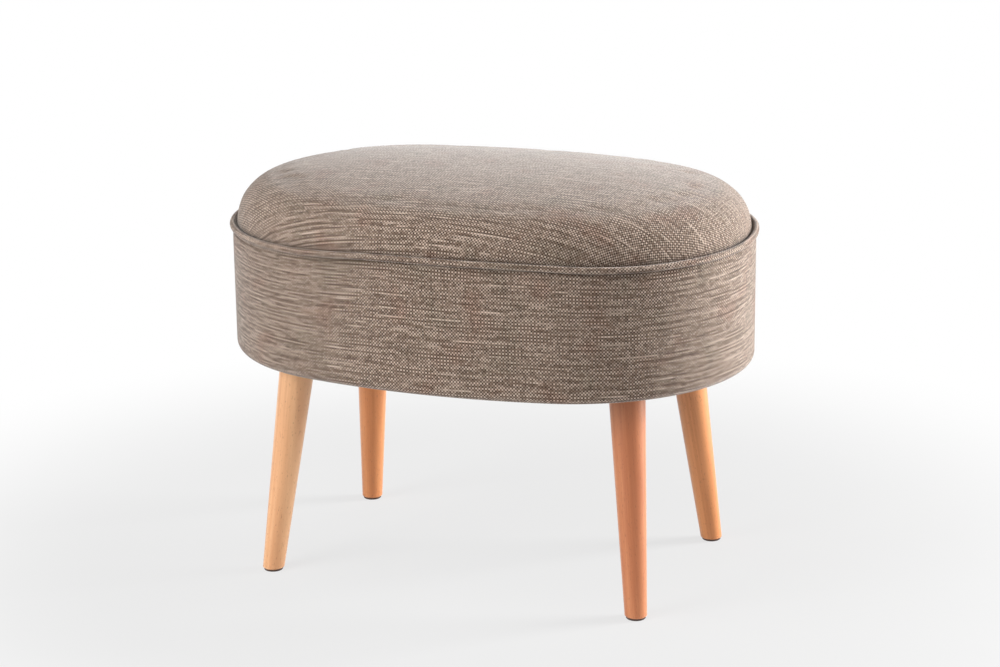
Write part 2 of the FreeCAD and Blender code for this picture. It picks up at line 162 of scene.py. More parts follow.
def inset_of(x, y):
    """How far inside the outline a spot lies, measured square to the nearest arc."""
    x, y = abs(x), abs(y)
    if math.atan2(y + side_centre, x) >= side_angle:
        return side_radius - math.hypot(x, y + side_centre)
    return end_radius - math.hypot(x - end_centre, y)


spot, normal = outline_at(outline_length / 4)
print("rear middle", tuple(spot), "inset there", round(inset_of(spot.x, spot.y), 6))

# %% [markdown]
# ## A seam that was sewn by hand
#
# On a real pouf the piped seam isn't dead level. Along the middle of the front it stands at its
# full height, and towards the two round corners it sinks by about half a centimetre, where the
# cloth is pulled round the tight curve. A plain ring would look machine made, so every piece near
# the seam moves by the same small amount, which only depends on the place along the outline.

# %% Shape the seam
SEAM_HIGH_POINT = 0.13
SEAM_SPREAD = 0.48
SEAM_DROP_LEFT = 5.6 * MM
SEAM_DROP_RIGHT = 4.4 * MM
REAR_START = 20 * MM
REAR_FADE = 40 * MM
REAR_SHARE = 0.2


def seam_lift(place):
    """How far the seam stands above its level height."""
    share = place.x / half_length - SEAM_HIGH_POINT
    drop = SEAM_DROP_LEFT if share < 0 else SEAM_DROP_RIGHT
    drop *= 1 - math.exp(-(share / SEAM_SPREAD) ** 4)
    rear = 0.5 + 0.5 * math.tanh((place.y - REAR_START) / REAR_FADE)
    return -drop * (1 - rear * (1 - REAR_SHARE))


front = [Vector((share * half_length, -half_width)) for share in (-0.6, 0.1, 0.6)]
print("seam lift along the front, in mm:", [round(seam_lift(place) / MM, 1) for place in front])

# %% [markdown]
# ## Rings of points
#
# The cover, the padding and the dust cover are all lofts: the same section carried round the
# oval. A table of stations, each with an inset and a height, gives the rings. Where a loft
# closes over the middle, its last rings slide towards a short spine on the long axis, and the
# points of the front and the rear meet there. That keeps the faces even and leaves no pole with
# hundreds of thin triangles. Each point also gets a place on the flat cloth, kept as a UV map in
# metres, so the threads can follow the panel as it was cut.

# %% Draw rings round the oval
SPINE_HALF = 115 * MM


def spine_spot(x):
    """Place on the spine that a point of the outline slides towards."""
    return Vector((x * SPINE_HALF / half_length, 0))


def ring(inset, height_at, columns):
    """Points round the oval at an inset. height_at gives the height at a spot."""
    points = []
    for column in range(columns):
        spot, normal = outline_at(outline_length * column / columns)
        place = spot - normal * inset
        points.append(Vector((place.x, place.y, height_at(place))))
    return points


def slide_rings(start, steps, height_at, columns):
    """Rings that slide from a first ring to the spine. height_at gives the height at an inset."""
    rings = []
    for step in range(1, steps + 1):
        share = step / steps
        points = []
        for column, point in enumerate(start):
            outline_spot = outline_at(outline_length * column / columns)[0]
            flat = Vector((point.x, point.y)).lerp(spine_spot(outline_spot.x), share)
            points.append(Vector((flat.x, flat.y, height_at(inset_of(flat.x, flat.y)))))
        rings.append(points)
    return rings


print("a ring of eight points starts at", tuple(ring(0, lambda place: 0, 8)[0]))


# %% Start a mesh
def mesh_object(name, points, faces=(), edges=()):
    """A mesh object at the origin, made of points with faces or edges."""
    mesh = bpy.data.meshes.new(name)
    mesh.from_pydata(points, edges, faces)
    mesh.update()
    return add_object(name, mesh)


def smooth(piece):
    """Shade a piece smoothly."""
    piece.data.polygons.foreach_set("use_smooth", [True] * len(piece.data.polygons))
    return piece


print("meshes are made from points with faces or edges")

# %% Skin the rings
UV_NAME = "thread_map"


def loft(name, rings, on_spine=(), loop=False, uv_at=None):
    """Skin a list of rings. Those on the spine are zipped, and a loop returns to the first one."""
    columns = len(rings[0])
    points = []
    index = []
    for number, points_of_ring in enumerate(rings):
        row = []
        for column, point in enumerate(points_of_ring):
            mirror = (columns - column) % columns
            if number in on_spine and mirror < column:
                row.append(row[mirror])
            else:
                row.append(len(points))
                points.append(point)
        index.append(row)
    pairs = [(number, number + 1) for number in range(len(rings) - 1)]
    if loop:
        pairs.append((len(rings) - 1, 0))
    faces = []
    places = []
    for lower, upper in pairs:
        for column in range(columns):
            following = (column + 1) % columns
            corners = [(lower, column), (lower, following), (upper, following), (upper, column)]
            ends = []
            kept = []
            for number, place in corners:
                vertex = index[number][place]
                if vertex not in ends:
                    ends.append(vertex)
                    kept.append((number, place))
            if len(ends) > 2:
                faces.append(ends)
                places += kept
    piece = mesh_object(name, points, faces)
    if uv_at:
        uv_layer = piece.data.uv_layers.new(name=UV_NAME)
        for corner, (number, place) in zip(uv_layer.data, places):
            corner.uv = uv_at(number, place)
    return piece


print("lofts store their place on the flat cloth as", UV_NAME)

# %% [markdown]
# ## Modifiers that leave plain meshes
#
# A finished piece has no live modifiers here: the wall thickness and the extra subdivision are
# worked out once, and the result is kept as a plain mesh. Asking for the evaluated object does
# that without any operator, and works in a window as well as in the background.


# %% Bake modifiers into the mesh
def apply_modifiers(piece):
    """Replace a piece's mesh by what its modifiers make of it."""
    graph = bpy.context.evaluated_depsgraph_get()
    result = bpy.data.meshes.new_from_object(piece.evaluated_get(graph), depsgraph=graph)
    piece.modifiers.clear()
    old = piece.data
    piece.data = result
    result.name = piece.name
    bpy.data.meshes.remove(old)
    return piece


def subdivide(piece, levels=1):
    """Round a mesh off with a subdivision surface."""
    modifier = piece.modifiers.new("subdivision", "SUBSURF")
    modifier.levels = levels
    modifier.render_levels = levels
    modifier.boundary_smooth = "PRESERVE_CORNERS"
    return apply_modifiers(piece)


def give_thickness(piece, thickness):
    """Turn a skin into a closed sheet whose outside is the skin."""
    modifier = piece.modifiers.new("thickness", "SOLIDIFY")
    modifier.thickness = thickness
    modifier.offset = -1
    return apply_modifiers(piece)


print("modifiers are baked with the depsgraph's evaluated mesh")


# %% Measure a piece
def count(piece):
    """Triangles of a piece."""
    return sum(len(polygon.vertices) - 2 for polygon in piece.data.polygons)


def volume_of(piece):
    """Volume inside a closed piece, which is below zero where its faces point inwards."""
    mesh = bmesh.new()
    mesh.from_mesh(piece.data)
    volume = mesh.calc_volume(signed=True)
    mesh.free()
    return volume


print("pieces are measured in triangles and cubic metres")

# %% [markdown]
# ## Cloth under light pressure
#
# Upholstery cloth is drawn tight over foam that pushes back. Blender's Cloth can play that: the
# edges are pinned where the seams and staples hold them, a small pressure stands for the foam,
# and after twenty frames the sheet has found its own tight, slightly uneven shape. No point may
# move further out than a cap, which keeps the piece within the body's real size, and none may sink
# far into the foam, which a free sheet would do on the shoulder. The starting meshes are already
# even grids, so they don't need a remesh first, and the threads keep their places.


# %% Settle a cloth
def settle(piece, held, pressure, cap, sink, frames=20):
    """Let a piece swell under pressure with held points pinned, and cap how far it moves and sinks."""
    start = [vertex.co.copy() for vertex in piece.data.vertices]
    outward = [vertex.normal.copy() for vertex in piece.data.vertices]
    pins = piece.vertex_groups.new(name="held")
    pins.add(held, 1.0, "REPLACE")
    cloth = piece.modifiers.new("cloth", "CLOTH")
    settings = cloth.settings
    settings.quality = 6
    settings.mass = 0.3
    settings.tension_stiffness = 30
    settings.compression_stiffness = 20
    settings.shear_stiffness = 10
    settings.bending_stiffness = 2
    settings.vertex_group_mass = "held"
    settings.use_pressure = True
    settings.uniform_pressure_force = pressure
    settings.effector_weights.gravity = 0
    cloth.point_cache.frame_start = 1
    cloth.point_cache.frame_end = frames
    scene = bpy.context.scene
    for number in range(1, frames + 1):
        scene.frame_set(number)
    graph = bpy.context.evaluated_depsgraph_get()
    settled = [vertex.co.copy() for vertex in piece.evaluated_get(graph).data.vertices]
    piece.modifiers.clear()
    piece.vertex_groups.clear()
    scene.frame_set(1)
    largest = 0
    for vertex, old, new, normal in zip(piece.data.vertices, start, settled, outward):
        move = new - old
        largest = max(largest, move.length)
        depth = -move.dot(normal)
        if depth > sink:
            move += normal * (depth - sink)
        if move.length > cap:
            move = move * (cap / move.length)
        vertex.co = old + move
    print(piece.name, "settled, furthest move", round(largest / MM, 2), "mm, capped at", cap / MM)
    return piece


# %% [markdown]
# ## The cushion top
#
# The seat is one oval panel of cloth over crowned foam. Its section has two arcs: a tight
# shoulder that rises from the seam and a very flat dome across the middle. A sphere squashed in
# one axis would be too round at the edge, so the section is written from the two arcs. The panel
# was cut flat with its weft along the seat, and the cloth map below keeps each point's distance
# from the spine along the surface, so the threads bend down over both ends as they do on the
# real one. Small gathers at the rim show that the panel was eased into the seam.

# %% Shape the crown's section
CROWN_INSET = 5.0 * MM
SHOULDER_SHARE = 0.8
crown_rise = crown_top - seam_height
shoulder_radius = crown_rise * SHOULDER_SHARE
shoulder_inset = CROWN_INSET + shoulder_radius
dome_reach = end_radius - shoulder_inset
flat_part = crown_rise - shoulder_radius
dome_radius = (crown_rise ** 2 + dome_reach ** 2 - shoulder_radius ** 2) / (2 * flat_part)
dome_start = math.atan2(dome_radius - crown_rise, -dome_reach)


def crown_height(inset, depth):
    """Height of the dome at an inset, at a depth under its face."""
    along = end_radius - min(inset, end_radius)
    return crown_top - dome_radius + math.sqrt((dome_radius - depth) ** 2 - along ** 2)


print("shoulder radius", round(shoulder_radius, 4), "dome radius", round(dome_radius, 3))

# %% Loft the top panel
CROWN_COLUMNS = 240
SHOULDER_STEPS = 12
DOME_STEPS = 25
ALLOWANCE_END = 14.5 * MM
ALLOWANCE_MIDDLE = 9.0 * MM
TUCK_RISE = 1.35 * MM
RIM_RISE = 1.4 * MM


def rim_height(level):
    """Height function of a ring that follows the lifted seam, less so nearer to the top."""
    share = 1 - (level - seam_height) / crown_rise
    return lambda place: level + seam_lift(place) * share ** 2


def crown_surface(depth, start, shoulder_steps, dome_steps, columns):
    """Rings of the crown at a depth under its face, from a height on the shoulder to the spine."""
    first = math.pi - math.asin((start - seam_height) / (shoulder_radius - depth))
    rings = []
    for step in range(shoulder_steps + 1):
        angle = first + (dome_start - first) * step / shoulder_steps
        inset = shoulder_inset + (shoulder_radius - depth) * math.cos(angle)
        level = seam_height + (shoulder_radius - depth) * math.sin(angle)
        rings.append(ring(inset, rim_height(level), columns))
    slid = slide_rings(rings[-1], dome_steps, lambda inset: crown_height(inset, depth), columns)
    for points in slid:
        for point in points:
            point.z = rim_height(point.z)(point)
    return rings + slid


tuck = [(ALLOWANCE_END, TUCK_RISE), (ALLOWANCE_MIDDLE, TUCK_RISE), (5.8 * MM, 1.2 * MM)]
crown_rings = [ring(inset, rim_height(seam_height + rise), CROWN_COLUMNS) for inset, rise in tuck]
crown_rings += crown_surface(0, seam_height + RIM_RISE, SHOULDER_STEPS, DOME_STEPS, CROWN_COLUMNS)
print("crown rings", len(crown_rings), "of", CROWN_COLUMNS, "points")


# %% Map the flat cloth onto the crown
STRETCH = 0.04
STEEP = 0.3


def flat_pattern(rings):
    """Place of every point on the flat cloth, measured along the surface from the spine."""
    columns = len(rings[0])
    flat = [[None] * columns for points in rings]
    for column in range(columns):
        inner = rings[-1][column]
        place = Vector((inner.x, inner.y))
        flat[-1][column] = place.copy()
        outward = outline_at(outline_length * column / columns)[1]
        for number in range(len(rings) - 2, -1, -1):
            point = rings[number][column]
            step = Vector((point.x - inner.x, point.y - inner.y))
            along = step.normalized() if step.length > STEEP * (point - inner).length else outward
            place = place + along * (point - inner).length
            flat[number][column] = place.copy()
            inner = point
    return flat


# The cloth was drawn harder to the left, so its threads lie wider apart there.
crown_flat = flat_pattern(crown_rings)
for points in crown_flat:
    for point in points:
        point.x += STRETCH * point.x ** 2 / (2 * half_length)
crown_sheet = loft("top_panel_cloth", crown_rings, on_spine=[len(crown_rings) - 1],
                   uv_at=lambda number, place: crown_flat[number][place])
print("top panel", len(crown_sheet.data.polygons), "faces")

# %% Mark the painted shade in the crease beside the piping
PAINTED_SHADE_ATTRIBUTE = "crease"
PAINTED_SHADE_REACH = 2.4 * MM


def mark_painted_crease_shade(piece, value_at):
    """Write how deep each point lies in the crease beside the piping, from 0 to 1, for the painted shade
    there.
    """
    layer = piece.data.attributes.new(PAINTED_SHADE_ATTRIBUTE, "FLOAT", "POINT")
    for vertex in piece.data.vertices:
        layer.data[vertex.index].value = value_at(vertex.index)


crease_start = seam_height + RIM_RISE
crown_levels = []
for points in crown_rings[:-1]:
    crown_levels += [point.z - seam_lift(point) for point in points]
crown_levels += [crown_top] * (len(crown_sheet.data.vertices) - len(crown_levels))
crease_depths = [max(0, level - crease_start) for level in crown_levels]
# The weave darkens the top panel by this value: painted shade where the piping overhangs the crease.
mark_painted_crease_shade(crown_sheet, lambda number: math.exp(-crease_depths[number] / PAINTED_SHADE_REACH))
print("the top panel's crease fades out over", round(PAINTED_SHADE_REACH / MM, 1), "mm")

# %% Gather, settle and thicken the top panel
CLOTH = 1.2 * MM
SLACK = 1.2 * MM
SLACK_GROWTH = 1.5
GATHER = 0.45 * MM
GATHER_REACH = 9 * MM
GATHER_WAVES = [(67, 0.4), (83, 1.9), (101, 4.4), (59, 5.2)]
SEWN_SHARE = 0.02


def folds_at(travel, waves):
    """Mean of a few sine waves round the outline, as small folds of cloth eased into a seam."""
    turn = math.tau * travel / outline_length
    return sum(math.sin(number * turn + phase) for number, phase in waves) / len(waves)


for vertex in crown_sheet.data.vertices:
    x, y, z = vertex.co
    share = (z - seam_height) / crown_rise
    if share > SEWN_SHARE:
        # The bearing stands in for the travel, which only shifts the small folds a little.
        travel = math.atan2(y / half_width, x / half_length) % math.tau / math.tau * outline_length
        fade = math.exp(-max(inset_of(x, y) - CROWN_INSET, 0) / GATHER_REACH)
        outward = Vector((x - spine_spot(x).x, y, 0)).normalized()
        vertex.co += outward * (folds_at(travel, GATHER_WAVES) * GATHER * fade)
        vertex.co.z -= SLACK * min(1, share * SLACK_GROWTH)
# The rings of the tuck and the first one of the shoulder are sewn in.
held = list(range(CROWN_COLUMNS * (len(tuck) + 1)))
settle(crown_sheet, held, pressure=2.0, cap=1.6 * MM, sink=0.5 * MM)
subdivide(crown_sheet)
give_thickness(crown_sheet, CLOTH)
smooth(crown_sheet)
print("top panel", count(crown_sheet), "triangles, top at",
      round(max(vertex.co.z for vertex in crown_sheet.data.vertices), 4))

# %% [markdown]
# ## The side band
#
# One strip of the same cloth goes round the drum. It starts in the piped seam, hangs over the
# side foam, turns round the bottom edge and is stapled under the base. Its ends meet at the back
# in an upright seam, where the cloth dives a few millimetres inwards. Close under the piping the
# cloth shows short puckers. They are modelled, and the rest of the unevenness comes from the
# cloth simulation. A plain cylinder would have neither the seam nor the soft bottom edge.

# %% Set out the band's section
PIPING_INSET = 0.3 * MM
PIPING_RADIUS = 3.7 * MM
BAND_GAP = 0.3 * MM
BOTTOM_RADIUS = 10.1 * MM
TURN_UNDER = 18.0 * MM
FINE_STEP = 1.6 * MM
COARSE_STEP = 5.0 * MM
FINE_DEPTH = 20 * MM
GROOVE = 2.3 * MM
GROOVE_REACH = 3.5 * MM
TUCK_DROP = 1.5 * MM
UNDER_PIPING = (-28, -50, -70)
BOTTOM_STEPS = 6
UNDER_STEPS = 4

near = PIPING_RADIUS + BAND_GAP
band_section = [(inset, seam_height - TUCK_DROP) for inset in (ALLOWANCE_END, ALLOWANCE_MIDDLE)]
for angle in UNDER_PIPING:
    turn = math.radians(angle)
    band_section.append((PIPING_INSET + near * math.cos(turn), seam_height + near * math.sin(turn)))
height = band_section[-1][1]
bottom_start = underside + BOTTOM_RADIUS
groove_top = height
while height - COARSE_STEP > bottom_start:
    height -= FINE_STEP if seam_height - height < FINE_DEPTH else COARSE_STEP
    band_section.append((GROOVE * math.exp(-(groove_top - height) / GROOVE_REACH), height))
for step in range(BOTTOM_STEPS + 1):
    turn = math.pi + math.pi / 2 * step / BOTTOM_STEPS
    inset = BOTTOM_RADIUS * (1 + math.cos(turn))
    band_section.append((inset, bottom_start + BOTTOM_RADIUS * math.sin(turn)))
for step in range(1, UNDER_STEPS + 1):
    band_section.append((BOTTOM_RADIUS + TURN_UNDER * step / UNDER_STEPS, underside))
print("band section", len(band_section), "stations")

# %% Pucker, dive and stretch the band
BAND_COLUMNS = 420
SEAM_DIVE = 7 * MM
SEAM_ROUND = 2.2 * MM
PUCKER = 0.55 * MM
PUCKER_REACH = 9 * MM
PUCKER_WAVES = [(61, 1.1), (79, 3.0), (97, 0.2), (131, 5.0), (113, 2.1)]
STRETCH_PHASE = math.radians(36)


def pucker(travel, depth):
    """How far the cloth stands out in its puckers, at a depth under the seam."""
    return PUCKER * folds_at(travel, PUCKER_WAVES) * math.exp(-depth / PUCKER_REACH)


def band_lift(place, height):
    """Share of the seam's lift that reaches a height of the band."""
    share = max(0, (height - bottom_start) / (seam_height - bottom_start))
    return seam_lift(place) * share


def band_columns():
    """Travel and dive of each column, from the rear seam all the way round to it."""
    start = outline_length / 4
    columns = [(start, SEAM_DIVE), (start + 0.2 * MM, SEAM_DIVE * 0.5),
               (start + 0.4 * MM, SEAM_ROUND * 0.6), (start + 1.2 * MM, SEAM_ROUND * 0.2)]
    for column in range(1, BAND_COLUMNS):
        columns.append((start + outline_length * column / BAND_COLUMNS, 0))
    end = start + outline_length
    columns += [(start + end - travel, dive) for travel, dive in reversed(columns[:4])]
    return columns


def band_stretch(travel):
    """Shift along the cloth, which was drawn harder to the left, so its threads lie wider there."""
    turn = math.tau * travel / outline_length
    return STRETCH * outline_length / math.tau * math.sin(turn + STRETCH_PHASE)


print("the band has", len(band_columns()), "columns")

# %% Set out the band's points
band_points = []
band_uvs = []
section_length = 0
for station, (inset, level) in enumerate(band_section):
    if station:
        section_length += math.dist(band_section[station - 1], (inset, level))
    for travel, dive in band_columns():
        spot, normal = outline_at(travel)
        under = max(0, (inset - BOTTOM_RADIUS) / TURN_UNDER)
        depth = max(0, seam_height - near - level)
        push = -inset - dive * (1 - under) + (pucker(travel, depth) if dive == 0 else 0)
        rise = dive * under
        place = spot + normal * push
        band_points.append(Vector((place.x, place.y, level + band_lift(place, level) + rise)))
        band_uvs.append((travel + band_stretch(travel), -section_length))
print("band flat height", round(section_length, 4), "m")

# %% Skin the band
across = len(band_columns())
faces = []
for station in range(len(band_section) - 1):
    for column in range(across - 1):
        corner = station * across + column
        faces.append((corner, corner + across, corner + across + 1, corner + 1))
band_sheet = mesh_object("side_band_cloth", band_points, faces)
uv_layer = band_sheet.data.uv_layers.new(name=UV_NAME)
for loop in band_sheet.data.loops:
    uv_layer.data[loop.index].uv = band_uvs[loop.vertex_index]
# Painted shade: the band is darkened just under the piping, where the bead shades it.
mark_painted_crease_shade(band_sheet, lambda number: math.exp(
    -max(0, groove_top - band_section[number // across][1]) / PAINTED_SHADE_REACH))
print("side band", len(band_sheet.data.polygons), "faces")

# %% Settle and thicken the band
PINNED_ROWS = 7
PINNED_COLUMNS = 6
held = []
for station in range(len(band_section)):
    pinned_row = station < PINNED_ROWS or station > len(band_section) - PINNED_ROWS
    for column in range(across):
        if pinned_row or column < PINNED_COLUMNS or column >= across - PINNED_COLUMNS:
            held.append(station * across + column)
settle(band_sheet, held, pressure=1.2, cap=1.2 * MM, sink=0.3 * MM)
give_thickness(band_sheet, CLOTH)
smooth(band_sheet)
print("side band", count(band_sheet), "triangles")

# %% [markdown]
# ## A bench for nodes
#
# Materials here are written as sums. The class below wraps a socket, and Python's own plus, minus
# and times signs on it add Math nodes to the tree. Every other node comes from one method that
# takes its type, its settings and what goes into its sockets. That keeps a weave or a wood grain
# readable as a formula, where wiring each node by hand would hide it.


# %% Wrap sockets in arithmetic
class Wire:
    """A value on its way through a node tree."""

    def __init__(self, bench, socket):
        self.bench = bench
        self.socket = socket

    def math(self, operation, first, second=0.0):
        return self.bench.node("ShaderNodeMath", {"operation": operation}, {0: first, 1: second})

    def __add__(self, other):
        return self.math("ADD", self, other)

    def __sub__(self, other):
        return self.math("SUBTRACT", self, other)

    def __rsub__(self, other):
        return self.math("SUBTRACT", other, self)

    def __mul__(self, other):
        return self.math("MULTIPLY", self, other)

    def __truediv__(self, other):
        return self.math("DIVIDE", self, other)

    def __mod__(self, other):
        return self.math("FLOORED_MODULO", self, other)

    __radd__ = __add__
    __rmul__ = __mul__

    def floor(self):
        return self.math("FLOOR", self)

    def cosine(self):
        return self.math("COSINE", self)

    def larger(self, other):
        return self.math("MAXIMUM", self, other)

    def absolute(self):
        return self.math("ABSOLUTE", self)

    def above(self, limit):
        """1 where the value is above a limit, and 0 elsewhere."""
        return self.math("GREATER_THAN", self, limit)

    def ramp(self, low, high):
        """A soft step from 0 at low to 1 at high, which may be the lower number."""
        return self.bench.node("ShaderNodeMapRange", {"interpolation_type": "SMOOTHSTEP"},
                               {"Value": self, "From Min": low, "From Max": high})

    def other(self, name):
        """Another output of the node that this one comes from."""
        return Wire(self.bench, self.socket.node.outputs[name])


print("a wire adds Math nodes for plus, minus, times, divide and remainder")


# %% Add nodes from one place
class Bench:
    """Adds nodes to one tree."""

    def __init__(self, tree):
        self.tree = tree

    def node(self, kind, settings=None, sockets=None, output=0):
        node = self.tree.nodes.new(kind)
        for name, value in (settings or {}).items():
            setattr(node, name, value)
        for name, value in (sockets or {}).items():
            self.plug(node.inputs[name], value)
        return Wire(self, node.outputs[output])

    def plug(self, socket, value):
        if isinstance(value, Wire):
            self.tree.links.new(value.socket, socket)
        else:
            socket.default_value = value

    def vector(self, x, y, z=0.0):
        return self.node("ShaderNodeCombineXYZ", None, {"X": x, "Y": y, "Z": z})

    def noise(self, vector, scale, detail=2.0, dimensions="3D"):
        return self.node("ShaderNodeTexNoise", {"noise_dimensions": dimensions},
                         {"Vector": vector, "Scale": scale, "Detail": detail})

    def mix(self, factor, first, second, blend="MIX"):
        """Mix two colours."""
        settings = {"data_type": "RGBA", "blend_type": blend, "clamp_factor": True}
        return self.node("ShaderNodeMix", settings, {0: factor, 6: first, 7: second}, output=2)


print("a bench adds every other node")


# %% Start and finish a material
def paint(red, green, blue):
    """A colour from the usual 0 to 255 values, as the linear numbers that sockets want."""
    channels = []
    for value in (red, green, blue):
        share = value / 255
        channels.append(share / 12.92 if share <= 0.04045 else ((share + 0.055) / 1.055) ** 2.4)
    return (*channels, 1.0)


def material_bench(name, **fixed):
    """A new material with its bench and its shader, whose fixed sockets are set by name."""
    material = bpy.data.materials.new(name)
    material.use_nodes = True
    shader = material.node_tree.nodes["Principled BSDF"]
    for socket, value in fixed.items():
        shader.inputs[socket.replace("_", " ")].default_value = value
    return material, Bench(material.node_tree), shader


def finish_surface(bench, shader, colour, height, depth, roughness=None):
    """Plug a colour, a bump and sometimes a roughness into the shader."""
    bench.plug(shader.inputs["Base Color"], colour)
    bump = bench.node("ShaderNodeBump", None, {"Height": height, "Distance": depth, "Strength": 1.0})
    bench.plug(shader.inputs["Normal"], bump)
    if roughness is not None:
        bench.plug(shader.inputs["Roughness"], roughness)


print("mid grey is", round(paint(128, 128, 128)[0], 3), "on a socket")

# %% [markdown]
# ## The weave
#
# The cloth is a plain weave: a pale, uneven weft runs along the strip, and a dark brown warp
# crosses it, over one and under one. Seen from two metres it reads as brown grey with pale and
# dark dashes, because each weft thread swells into slubs here and there. An image could show
# that, but a formula stays sharp at any distance. Row and column numbers come from the cloth map,
# their sum being odd or even says which thread is on top, and noise read along each row or
# column gives every thread its own streaks. A row's noise is taken less that of the next row, so
# pale lines lie beside dark ones and no broad patch grows lighter or darker.

# %% Choose the yarns
THREAD = 1.86 * MM
PALE_WEFT = paint(203, 184, 168)
BROWN_WEFT = paint(128, 108, 94)
PALE_WARP = paint(109, 90, 76)
BROWN_WARP = paint(63, 49, 40)
SLUB = paint(222, 202, 185)
DARK_SLUB = paint(68, 52, 41)
# How much painted shade darkens the cloth in the crease beside the piping.
CREASE_SHADE = 0.4
print("a thread every", round(THREAD / MM, 2), "mm")


# %% Write the weave
def line_contrast(bench, along, row, rate, skip):
    """Noise of a row less that of the next row, so pale and dark lines lie side by side."""
    own, beside = [
        bench.noise(bench.vector(along * rate, (row + step) * skip), 1.0, 2.0, "2D")
        for step in (0, 1)]
    return own - beside


def weave_material(name):
    """Plain weave that follows the cloth map of a piece."""
    material, bench, shader = material_bench(
        name, Roughness=0.95, Specular_IOR_Level=0.15, Sheen_Weight=0.33, Sheen_Roughness=0.45)
    cloth = bench.node("ShaderNodeUVMap", {"uv_map": UV_NAME})
    parts = bench.node("ShaderNodeSeparateXYZ", None, {"Vector": cloth})
    drift = bench.noise(cloth, 5.0, dimensions="2D")
    sway = bench.noise(cloth, 7.0, dimensions="2D")
    along = parts.other("X") / THREAD + drift * 3.0
    across = parts.other("Y") / THREAD + sway * 2.0
    column = along.floor()
    row = across.floor()
    warp_over = (row + column) % 2.0
    from_column = (along - column - 0.5) * math.pi
    from_row = (across - row - 0.5) * math.pi

    long_lines = line_contrast(bench, along, row, 0.02, 7.31)
    short_lines = line_contrast(bench, along, row, 0.09, 3.77)
    slub_lines = line_contrast(bench, along, row, 0.03, 2.31)
    strand = bench.noise(bench.vector(across * 0.03, column * 5.17), 1.0, 2.0, "2D")
    crossing = bench.node("ShaderNodeTexWhiteNoise", {"noise_dimensions": "2D"},
                          {"Vector": bench.vector(column, row)})

    weft_height = from_row.cosine() * (from_column.cosine() * 0.6 + 0.4)
    warp_height = from_column.cosine() * (from_row.cosine() * 0.6 + 0.4)
    pale_slub = slub_lines.ramp(0.20, 0.36) * 0.5
    dark_slub = slub_lines.ramp(-0.20, -0.36) * 0.4
    weft_shows = (1 - warp_over).larger(pale_slub)
    height = weft_height * weft_shows + warp_height * (1 - weft_shows)

    lines = long_lines * 0.52 + short_lines * 0.32
    streaks = lines + strand * 0.1 + crossing * 0.2 + 0.35
    weft = bench.mix(streaks.ramp(0.34, 0.66), BROWN_WEFT, PALE_WEFT)
    weft = bench.mix(pale_slub, weft, SLUB)
    twist = lines * 0.5 + strand * 0.3 + crossing * 0.3 + 0.2
    warp = bench.mix(twist.ramp(0.32, 0.68), BROWN_WARP, PALE_WARP)
    colour = bench.mix(weft_shows, warp, weft)
    colour = bench.mix(dark_slub, colour, DARK_SLUB)
    # Painted shade between the threads, where their bumps are low.
    painted_shade_and_column_tone = height.ramp(-0.10, 0.65) * 0.18 + 0.82
    # Painted shade in the crease beside the piping, read from each piece's mark; every second column is a
    # little darker, as the weave's own pattern.
    crease = bench.node("ShaderNodeAttribute", {"attribute_name": PAINTED_SHADE_ATTRIBUTE}, output="Fac")
    painted_shade_and_column_tone = painted_shade_and_column_tone * (1 - column % 2.0 * 0.1) * (1 - crease * CREASE_SHADE)
    shaded = bench.mix(1.0, colour, bench.vector(painted_shade_and_column_tone, painted_shade_and_column_tone, painted_shade_and_column_tone), "MULTIPLY")

    patch = bench.noise(cloth, 22.0, 2.0, "2D")
    warm = bench.mix(patch.ramp(0.55, 0.75) * 0.35, shaded, paint(228, 196, 186), "MULTIPLY")
    cool = bench.mix(patch.ramp(0.45, 0.25) * 0.3, warm, paint(205, 214, 206), "MULTIPLY")
    finish_surface(bench, shader, cool, height, 0.08 * MM)
    return material


weave = weave_material("heathered_weave")
for piece in (crown_sheet, band_sheet):
    piece.data.materials.append(weave)
print("weave has", len(weave.node_tree.nodes), "nodes")

# %% [markdown]
# ## The piping
#
# A cotton cord is folded into a strip of the same cloth and sewn between the top panel and the
# band, so it stands out of the seam as a soft round bead. It is a shape that follows a path, which
# is work for Geometry Nodes: the oval is drawn once as a line, the tree sweeps a circle along it
# and writes the cloth map, and a little noise in the radius keeps it from looking like plastic
# tube. The strip's two ends butt at the back. Curve objects with a bevel could sweep the circle
# too, but they can't store the cloth map in metres.


# %% Start a geometry tree
def geometry_bench(name, inputs):
    """A new geometry tree with named inputs, its bench, its input node and their identifiers."""
    tree = bpy.data.node_groups.new(name, "GeometryNodeTree")
    tree.interface.new_socket(name="Geometry", in_out="INPUT", socket_type="NodeSocketGeometry")
    tree.interface.new_socket(name="Geometry", in_out="OUTPUT", socket_type="NodeSocketGeometry")
    identifiers = {}
    for label, kind in inputs.items():
        socket = tree.interface.new_socket(name=label, in_out="INPUT", socket_type="NodeSocket" + kind)
        identifiers[label] = socket.identifier
    bench = Bench(tree)
    start = bench.node("NodeGroupInput")
    return tree, bench, start, identifiers


def end_tree(bench, geometry, material):
    """End a tree in real geometry with its material."""
    real = bench.node("GeometryNodeRealizeInstances", None, {"Geometry": geometry})
    dressed = bench.node("GeometryNodeSetMaterial", None, {"Geometry": real, "Material": material})
    group_output = bench.tree.nodes.new("NodeGroupOutput")
    bench.plug(group_output.inputs[0], dressed)


def grow(piece, tree, identifiers, values):
    """Run a tree on a piece and keep what it makes as a plain mesh."""
    modifier = piece.modifiers.new("grow", "NODES")
    modifier.node_group = tree
    for label, value in values.items():
        modifier[identifiers[label]] = value
    return apply_modifiers(piece)


def store(bench, geometry, name, value, data_type="FLOAT", domain="POINT"):
    """Keep a value on a geometry under a name."""
    return bench.node("GeometryNodeStoreNamedAttribute", {"data_type": data_type, "domain": domain},
                      {"Geometry": geometry, "Name": name, "Value": value})


